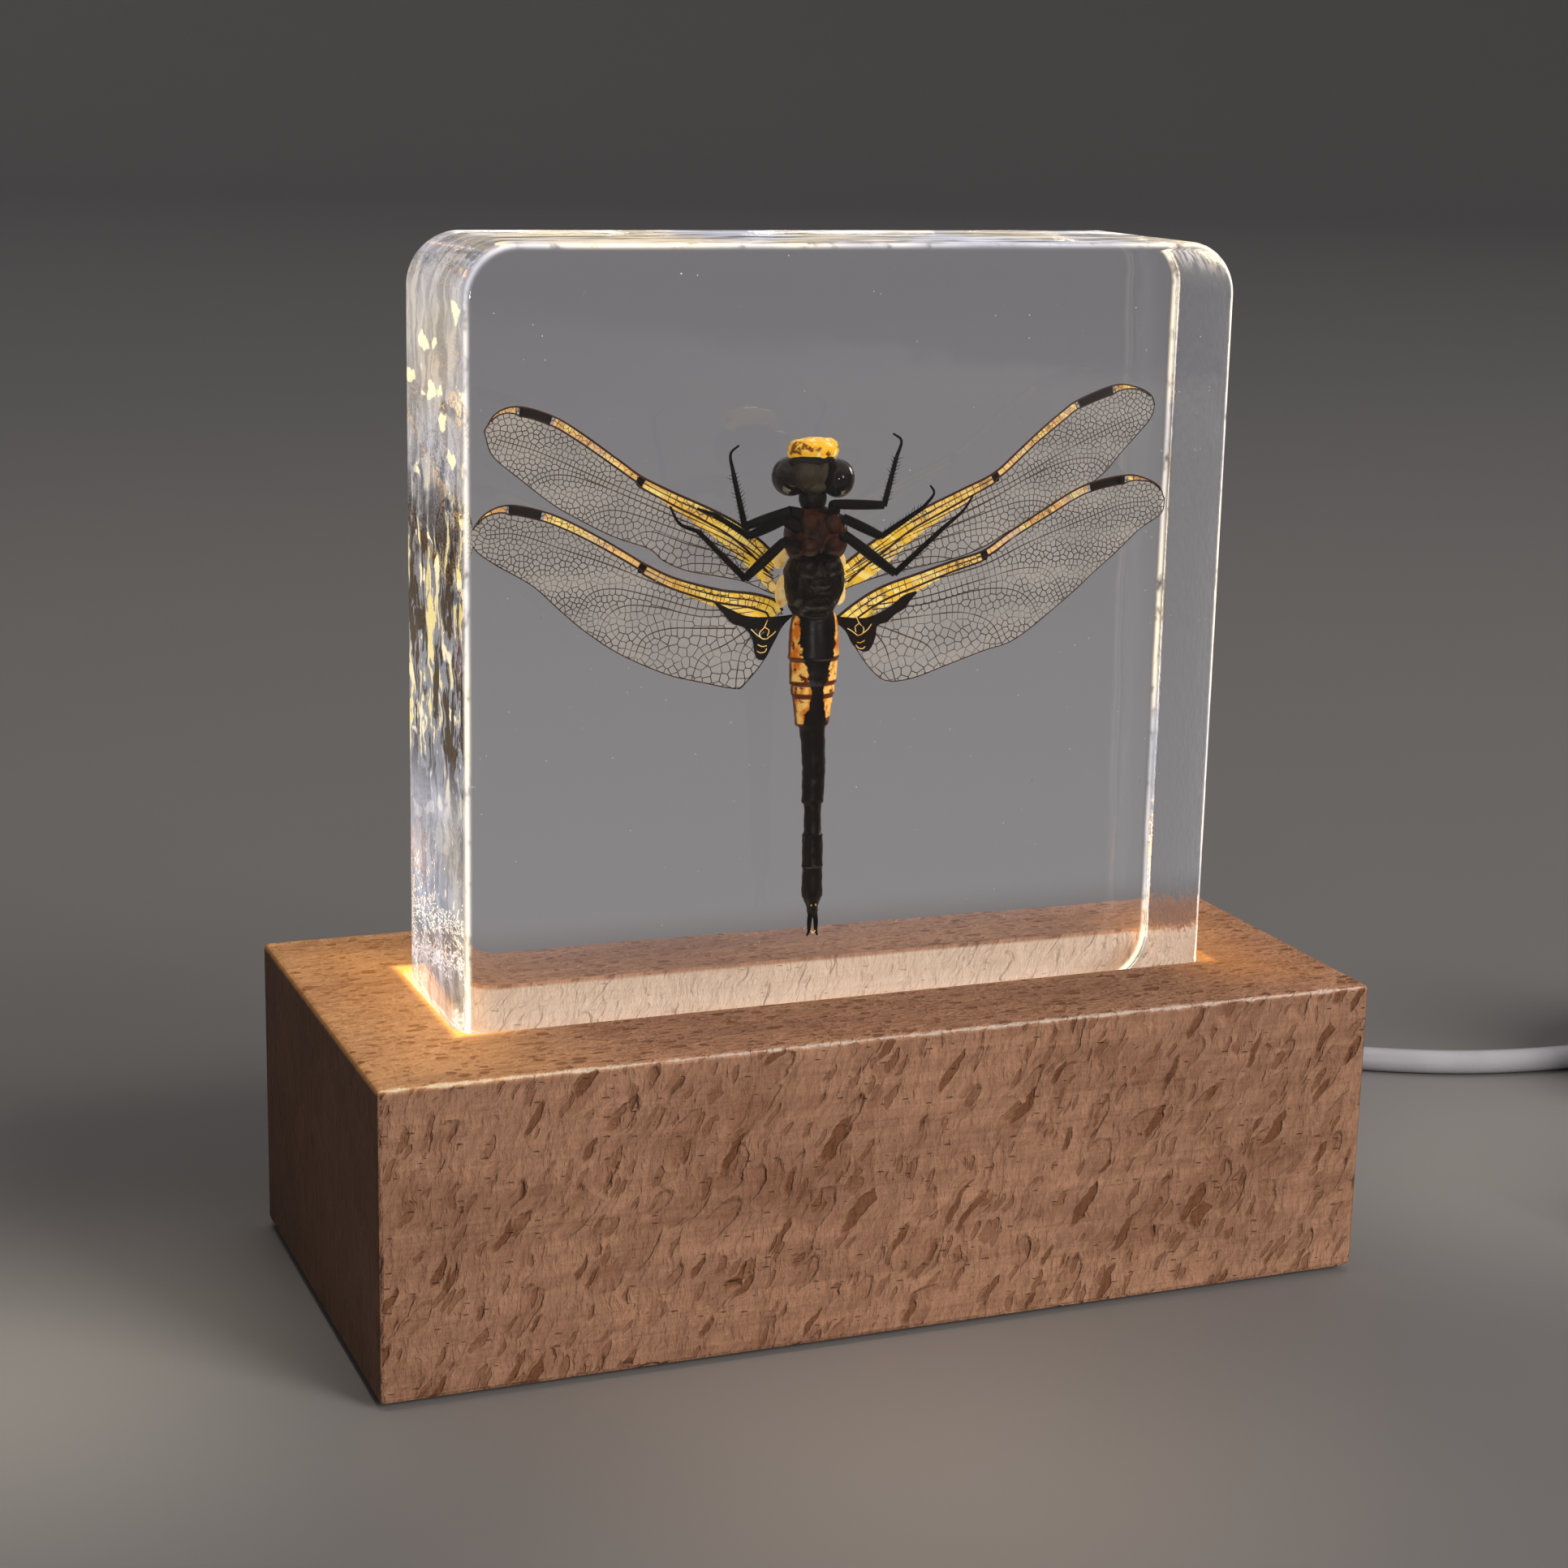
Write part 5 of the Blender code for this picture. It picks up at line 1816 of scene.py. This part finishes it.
    def net_edges(self) -> list[tuple[Vector, Vector]]:
        """The fine veins: the borders between the cells, ended at the outline."""
        sites = self.sites()
        flat = [Vector((point.x, point.z)) for point in sites]
        points, _, faces, _, _, _ = geometry.delaunay_2d_cdt(flat, [], [], 0, 1e-5)
        centres: list[Vector | None] = []
        owners: dict[tuple[int, int], list[int]] = {}
        for number, face in enumerate(faces):
            a, b, c = (points[index] for index in face)
            turn = 2 * (a.x * (b.y - c.y) + b.x * (c.y - a.y) + c.x * (a.y - b.y))
            if abs(turn) < 1e-6:
                centres.append(None)
                continue
            sums = [p.x * p.x + p.y * p.y for p in (a, b, c)]
            x = (sums[0] * (b.y - c.y) + sums[1] * (c.y - a.y) + sums[2] * (a.y - b.y)) / turn
            y = (sums[0] * (c.x - b.x) + sums[1] * (a.x - c.x) + sums[2] * (b.x - a.x)) / turn
            centres.append(Vector((x, 0.0, y)))
            for i in range(3):
                key = tuple(sorted((face[i], face[(i + 1) % 3])))
                owners.setdefault(key, []).append(number)
        edges = []
        for pair in owners.values():
            if len(pair) != 2 or centres[pair[0]] is None or centres[pair[1]] is None:
                continue
            first, second = centres[pair[0]], centres[pair[1]]
            length = (second - first).length
            if length < 0.05 or length > 3.0:
                continue
            within = (self.inside(first), self.inside(second))
            if not any(within):
                continue
            if not all(within):
                inner, outer = (first, second) if within[0] else (second, first)
                for _ in range(7):
                    half = inner.lerp(outer, 0.5)
                    inner, outer = (half, outer) if self.inside(half) else (inner, half)
                first, second = (first if within[0] else second), inner
            edges.append((first, second))
        return edges

    def net_mesh(self) -> Mesh:
        """The fine veins as bare lines, ready for the tree that gives them their thickness."""
        points: list[Vector] = []
        radii: list[float] = []
        index: dict[tuple[float, float], int] = {}
        lines = []
        for first, second in self.net_edges():
            ends = []
            for point in (first, second):
                key = (round(point.x, 3), round(point.z, 3))
                if key not in index:
                    index[key] = len(points)
                    points.append(self.lift(point) * MM)
                    radii.append(0.25 + 0.75 * self.cell(point) / self.coarse)
                ends.append(index[key])
            if ends[0] != ends[1]:
                lines.append(tuple(ends))
        mesh = bpy.data.meshes.new("net_" + self.plan.name)
        mesh.from_pydata(points, lines, [])
        mesh.attributes.new("radius", "FLOAT", "POINT").data.foreach_set("value", radii)
        return mesh

    def film(self, draft: Draft) -> None:
        """Draw the film as one thin closed sheet over the whole outline."""
        rows, count = self.film_rows, self.film_columns + 1
        flat = [self.lift(self.at(row / rows, column / self.film_columns))
                for row in range(rows + 1) for column in range(count)]
        offset = Vector((0, self.film_thickness / 2, 0))
        points = [point - offset for point in flat] + [point + offset for point in flat]
        total = len(flat)
        faces = []
        for row in range(rows):
            for column in range(count - 1):
                a = row * count + column
                quad = (a, a + 1, a + count + 1, a + count)
                faces.append(quad)
                faces.append(tuple(total + index for index in reversed(quad)))
        rim = (list(range(count))
               + [row * count + count - 1 for row in range(1, rows + 1)]
               + [rows * count + column for column in range(count - 2, -1, -1)]
               + [row * count for row in range(rows - 1, 0, -1)])
        for first, second in zip(rim, rim[1:] + rim[:1]):
            faces.append((first, second, second + total, first + total))
        draft.add(points, faces)

    def strips(self, draft: Draft) -> None:
        """Draw the stained film between the leading veins, up to the stigma and beyond it."""
        inner = self.inner_line(0.97)
        low, high = sorted(self.plan.stigma, key=abs)
        last = len(self.leading) - 1
        run: list[int] = []
        for index, point in enumerate(self.leading[:-4]):
            marked = abs(low) < abs(point.x) < abs(high)
            if not marked:
                run.append(index)
            if marked or index == last - 4:
                if len(run) > 1:
                    first = [self.lift(self.leading[i]) for i in run]
                    second = [self.lift(inner[i]) for i in run]
                    draft.ribbon(first, second, 0.05)
                run = []
        wedge, wide = (0.40, 1.7) if self.plan.hind else (0.46, 2.2)
        count = 18
        upper, lower = [], []
        for step in range(count + 1):
            span = wedge * step / count
            place = round(span * last)
            across = self.at(span, 1.0) - self.leading[place]
            start = (inner[place] - self.leading[place]).length
            reach = min(start + wide * (1 - step / count) ** 1.2 + 0.05, across.length - 0.05)
            upper.append(self.lift(inner[place]))
            lower.append(self.lift(self.leading[place] + across * (reach / across.length)))
        draft.ribbon(upper, lower, 0.045)

    def marks(self, draft: Draft) -> None:
        """Draw the dark stigma, the nodus and, on a hind wing, the patch at the base."""
        inner = self.inner_line(1.02)
        low, high = sorted((abs(value) for value in self.plan.stigma))
        chosen = [i for i, point in enumerate(self.leading) if low <= abs(point.x) <= high]
        draft.ribbon([self.lift(self.leading[i]) for i in chosen],
                     [self.lift(inner[i]) for i in chosen], 0.12)
        place = min(range(len(self.leading)), key=lambda i: abs(self.leading[i].x - self.plan.nodus))
        first, last = self.leading[place - 1], self.leading[place + 1]
        deep_a, deep_b = inner[place - 1], inner[place + 1]
        draft.plate([self.lift(p) for p in (first, last, last.lerp(deep_b, 0.9),
                                            deep_a.lerp(deep_b, 0.6) + (deep_a - first) * 0.25,
                                            deep_a)], 0.13)
        if self.plan.patch:
            corners = (*self.plan.patch, self.plan.patch[0])
            line = smooth_line([Vector((x, 0.0, z)) for x, z in corners], 0.3)
            front = Vector((0.0, -0.12, 0.0))
            draft.plate([self.lift(point) + front for point in line[:-1]], 0.08)

    def ribs(self, draft: Draft) -> None:
        """Draw the leading edge, the strip's two veins, its cross veins and the outline."""
        count = len(self.leading) - 1
        edge = [self.lift(point) for point in self.leading]
        draft.tube(edge, [0.15 - 0.08 * i / count for i in range(count + 1)], 8)
        inner = [self.lift(point) for point in self.inner_line()]
        draft.tube(inner[:-3], [0.13 - 0.06 * i / count for i in range(count - 2)], 8)
        nodus = abs(self.plan.nodus)
        middle = [self.lift(point) for point in self.inner_line(0.48) if abs(point.x) < nodus]
        draft.tube(middle, [0.07] * len(middle), 6)
        back = [self.lift(point) for point in self.trailing]
        draft.tube(back, [0.055] * len(back), 6)
        rng = random.Random(self.seed + 50)
        place = 3
        while place < count - 4:
            if rng.random() < 0.75:
                draft.tube([edge[place], inner[place]], [0.045, 0.045], 5)
            place += rng.choice((2, 3, 4))

    def strong(self, draft: Draft) -> None:
        """Draw the strong veins over the net."""
        for line in self.strong_veins():
            path = [self.lift(point) for point in line]
            count = len(path) - 1
            draft.tube(path, [0.075 - 0.03 * i / count for i in range(count + 1)], 6)

    def patch_veins(self, draft: Draft) -> None:
        """Draw the yellow veins that show in the dark patch at a hind wing's base."""
        if not self.plan.patch:
            return
        rng = random.Random(self.seed + 90)
        sign = self.plan.side.value
        centre = Vector(PATCH_CENTRES[self.plan.side])
        strokes = [
            ((0.3, 1.2), (0.0, 0.5), (-0.5, 0.0), (-0.3, -0.5), (0.2, -0.6)),
            ((0.2, -0.6), (0.7, -0.2), (1.1, 0.1)),
            ((-0.3, -0.5), (-0.9, -0.1), (-1.3, 0.4)),
            ((-0.6, -1.1), (-0.2, -1.3), (0.2, -1.25)),
            ((-0.7, -1.7), (-0.4, -1.9), (0.1, -1.8), (0.3, -1.5)),
            ((0.0, 0.5), (0.4, 0.2), (0.3, -0.3)),
        ]
        for stroke in strokes:
            line = [centre + Vector((-sign * x + rng.uniform(-0.06, 0.06), 0.0, z)) for x, z in stroke]
            path = [self.lift(point) + Vector((0, -0.2, 0)) for point in smooth_line(line, 0.12)]
            draft.tube(path, [0.045] * len(path), 5)


@dataclass
class Wings:
    """The four wings."""

    def vein_recipe(self) -> Recipe:
        """A tree that turns bare lines into fine round veins."""
        recipe = Recipe("fine_veins")
        thickness = recipe.socket("Radius", "NodeSocketFloat")
        sides = recipe.socket("Sides", "NodeSocketInt")
        line = recipe.node("GeometryNodeMeshToCurve", {"Mesh": recipe.entry.outputs["Geometry"]})
        profile = recipe.node("GeometryNodeCurvePrimitiveCircle", {"Resolution": sides,
                                                                   "Radius": thickness})
        solid = recipe.node("GeometryNodeCurveToMesh", {
            "Curve": line.outputs["Curve"], "Profile Curve": profile.outputs["Curve"],
            "Fill Caps": True})
        recipe.close(solid.outputs["Mesh"])
        return recipe

    def build(self, skins: Skins) -> None:
        """Build the wings, each kind of part as a piece of its own."""
        recipe = self.vein_recipe()
        film, strips, marks = Draft(), Draft(), Draft()
        ribs, strong, yellow = Draft(), Draft(), Draft()
        for number, plan in enumerate(WINGS):
            wing = Wing(plan, 3 + number)
            wing.film(film)
            wing.strips(strips)
            wing.marks(marks)
            wing.ribs(ribs)
            wing.strong(strong)
            wing.patch_veins(yellow)
            values = {"Radius": 0.045 * MM, "Sides": 4, "Finish": skins.vein}
            name = f"wing_net_{plan.name}"
            add_piece(name, recipe.run(name, wing.net_mesh(), values), skins.vein, sharp=80)
        add_draft("wing_films", film, skins.film, FINE_WELD, 60)
        add_draft("wing_stained_strips", strips, skins.strip, COARSE_WELD, 60)
        add_draft("wing_dark_marks", marks, skins.mark, COARSE_WELD, 60)
        add_draft("wing_edge_veins", ribs, skins.rib, FINE_WELD)
        add_draft("wing_strong_veins", strong, skins.vein, FINE_WELD)
        add_draft("wing_patch_veins", yellow, skins.pale, FINE_WELD)


@dataclass
class Dragonfly:
    """The whole insect, its underside to the front of the block."""

    def build(self, wear: NodeTree) -> None:
        """Make the insect's skins and build its parts."""
        skins = Skins(
            chitin=PlainFinish("dark_chitin", (0.003, 0.0015, 0.001), (0.008, 0.004, 0.0025),
                               (0.25, 0.45), 700.0, 0.10, specular=0.10).paint(wear),
            thorax=PlainFinish("brown_chitin", (0.004, 0.002, 0.001), (0.105, 0.022, 0.006),
                               (0.22, 0.42), 700.0, 0.10, specular=0.12).paint(wear),
            eye=PlainFinish("compound_eye", (0.004, 0.002, 0.002), (0.010, 0.004, 0.003),
                            (0.04, 0.08), 9000.0, 0.005, specular=0.26).paint(wear),
            face=GlowFinish("lit_face", (0.16, 0.04, 0.0), (0.88, 0.46, 0.02), (1.0, 0.84, 0.38),
                            0.5, (1.1, 1.1, 0.9)).paint(),
            mouth=PlainFinish("labium", (0.035, 0.027, 0.015), (0.075, 0.055, 0.03),
                              (0.3, 0.45), 4000.0, 0.05, specular=0.12).paint(wear),
            abdomen=AbdomenFinish(-1.95).paint(),
            leg=PlainFinish("black_leg", (0.002, 0.0015, 0.0015), (0.006, 0.003, 0.002),
                            (0.4, 0.55), 5000.0, 0.03, specular=0.04).paint(wear),
            film=FilmFinish().paint(),
            strip=StripFinish(33.0, -2.2).paint(),
            mark=PlainFinish("dark_mark", (0.003, 0.0015, 0.001), (0.008, 0.003, 0.002),
                             (0.4, 0.55), 4000.0, 0.02, specular=0.1).paint(wear),
            vein=PlainFinish("fine_vein", (0.085, 0.055, 0.038), (0.15, 0.095, 0.062),
                             (0.4, 0.5), 5000.0, 0.01, specular=0.2).paint(wear),
            rib=PlainFinish("edge_vein", (0.022, 0.008, 0.004), (0.075, 0.027, 0.009),
                            (0.35, 0.5), 5000.0, 0.01, specular=0.25).paint(wear),
            pale=GlowFinish("pale_vein", (0.70, 0.36, 0.05), (0.95, 0.62, 0.20), (1.0, 0.86, 0.55),
                            0.45).paint(),
        )
        Head().build(skins)
        Thorax().build(skins)
        Abdomen().build(skins)
        Legs().build(skins)
        Wings().build(skins)


# ---- The base and its fittings, dressed where they stand ----


@dataclass
class Base:
    """The beech base with its light, cover, screws, feet, wires, boot, tie and plug."""

    led_pitch: float = 11.0 * MM

    def dress(self, wear: NodeTree) -> None:
        """Give every CAD node that stays its finish."""
        low, high = (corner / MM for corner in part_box("wood_base"))
        beech = BeechFinish(high.x, low.y, high.z, (38.5, 11.0)).paint()
        window = WindowFinish(self.led_pitch).paint()
        chip = ChipFinish(self.led_pitch).paint()
        pvc = lead_finish().paint(wear)
        plain = {
            "bottom_cover": PlainFinish("black_cover", (0.02, 0.02, 0.021), (0.035, 0.035, 0.036),
                                        (0.42, 0.6), 2500.0, 0.06),
            "foot": PlainFinish("foot_rubber", (0.09, 0.09, 0.09), (0.13, 0.13, 0.125), (0.7, 0.9),
                                1800.0, 0.08),
            "cover_screw": PlainFinish("plated_steel", (0.60, 0.60, 0.61), (0.50, 0.50, 0.52),
                                       (0.2, 0.35), 3500.0, 0.02, 1.0),
            "plug_shell": PlainFinish("plug_steel", (0.63, 0.63, 0.64), (0.54, 0.54, 0.56),
                                      (0.18, 0.3), 3000.0, 0.01, 1.0),
            "led_board": PlainFinish("white_board", (0.80, 0.82, 0.80), (0.74, 0.77, 0.75),
                                     (0.3, 0.45), 1500.0, 0.03),
            "wire_red": PlainFinish("red_wire", (0.50, 0.02, 0.015), (0.42, 0.02, 0.015), (0.3, 0.45)),
            "wire_black": PlainFinish("black_wire", (0.02, 0.02, 0.02), (0.03, 0.03, 0.03),
                                      (0.3, 0.45)),
            "cable_tie": PlainFinish("black_tie", (0.02, 0.02, 0.022), (0.04, 0.04, 0.04), (0.4, 0.6),
                                     2200.0, 0.05),
        }
        for name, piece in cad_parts.items():
            if name == "wood_base":
                finish = beech
            elif name == "light_window":
                finish = window
            elif name.startswith("led_") and name != "led_board":
                finish = chip
            elif name in ("cable_boot", "plug_relief", "plug_body", "plug_tongue"):
                finish = pvc
            else:
                kind = next((key for key in plain if name.startswith(key)), None)
                if kind is None:
                    continue
                finish = plain[kind].paint(wear)
            for place in piece.material_slots:
                place.material = finish
            LOG.info("dressed %s", name)


def lead_finish() -> PlainFinish:
    """The lead's satin white PVC."""
    return PlainFinish("white_pvc", (0.62, 0.62, 0.68), (0.56, 0.56, 0.62), (0.36, 0.5), 2600.0, 0.03)


def main() -> None:
    """Build the scene's parts in order."""
    studio = Studio()
    studio.build_camera()
    wear = make_surface_wear()
    Lead().build(lead_finish().paint(wear))
    studio.build_floor()
    studio.build_light()
    Base().dress(wear)
    low, high = (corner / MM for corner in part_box("resin_block"))
    ResinBlock().build(ResinFinish(tuple(low), tuple(high)).paint())
    Dragonfly().build(wear)
    # The pale dust glows faintly: painted light.
    dust = GlowFinish("pale_dust", (0.70, 0.70, 0.74), (0.82, 0.82, 0.86), (0.94, 0.94, 0.96),
                      0.25).paint()
    fibre = PlainFinish("pale_fibre", (0.55, 0.54, 0.56), (0.48, 0.47, 0.50), (0.5, 0.7)).paint(wear)
    Inclusions().build(dust, fibre)
    LOG.info("all pieces are in place")


if __name__ == "__main__":
    main()
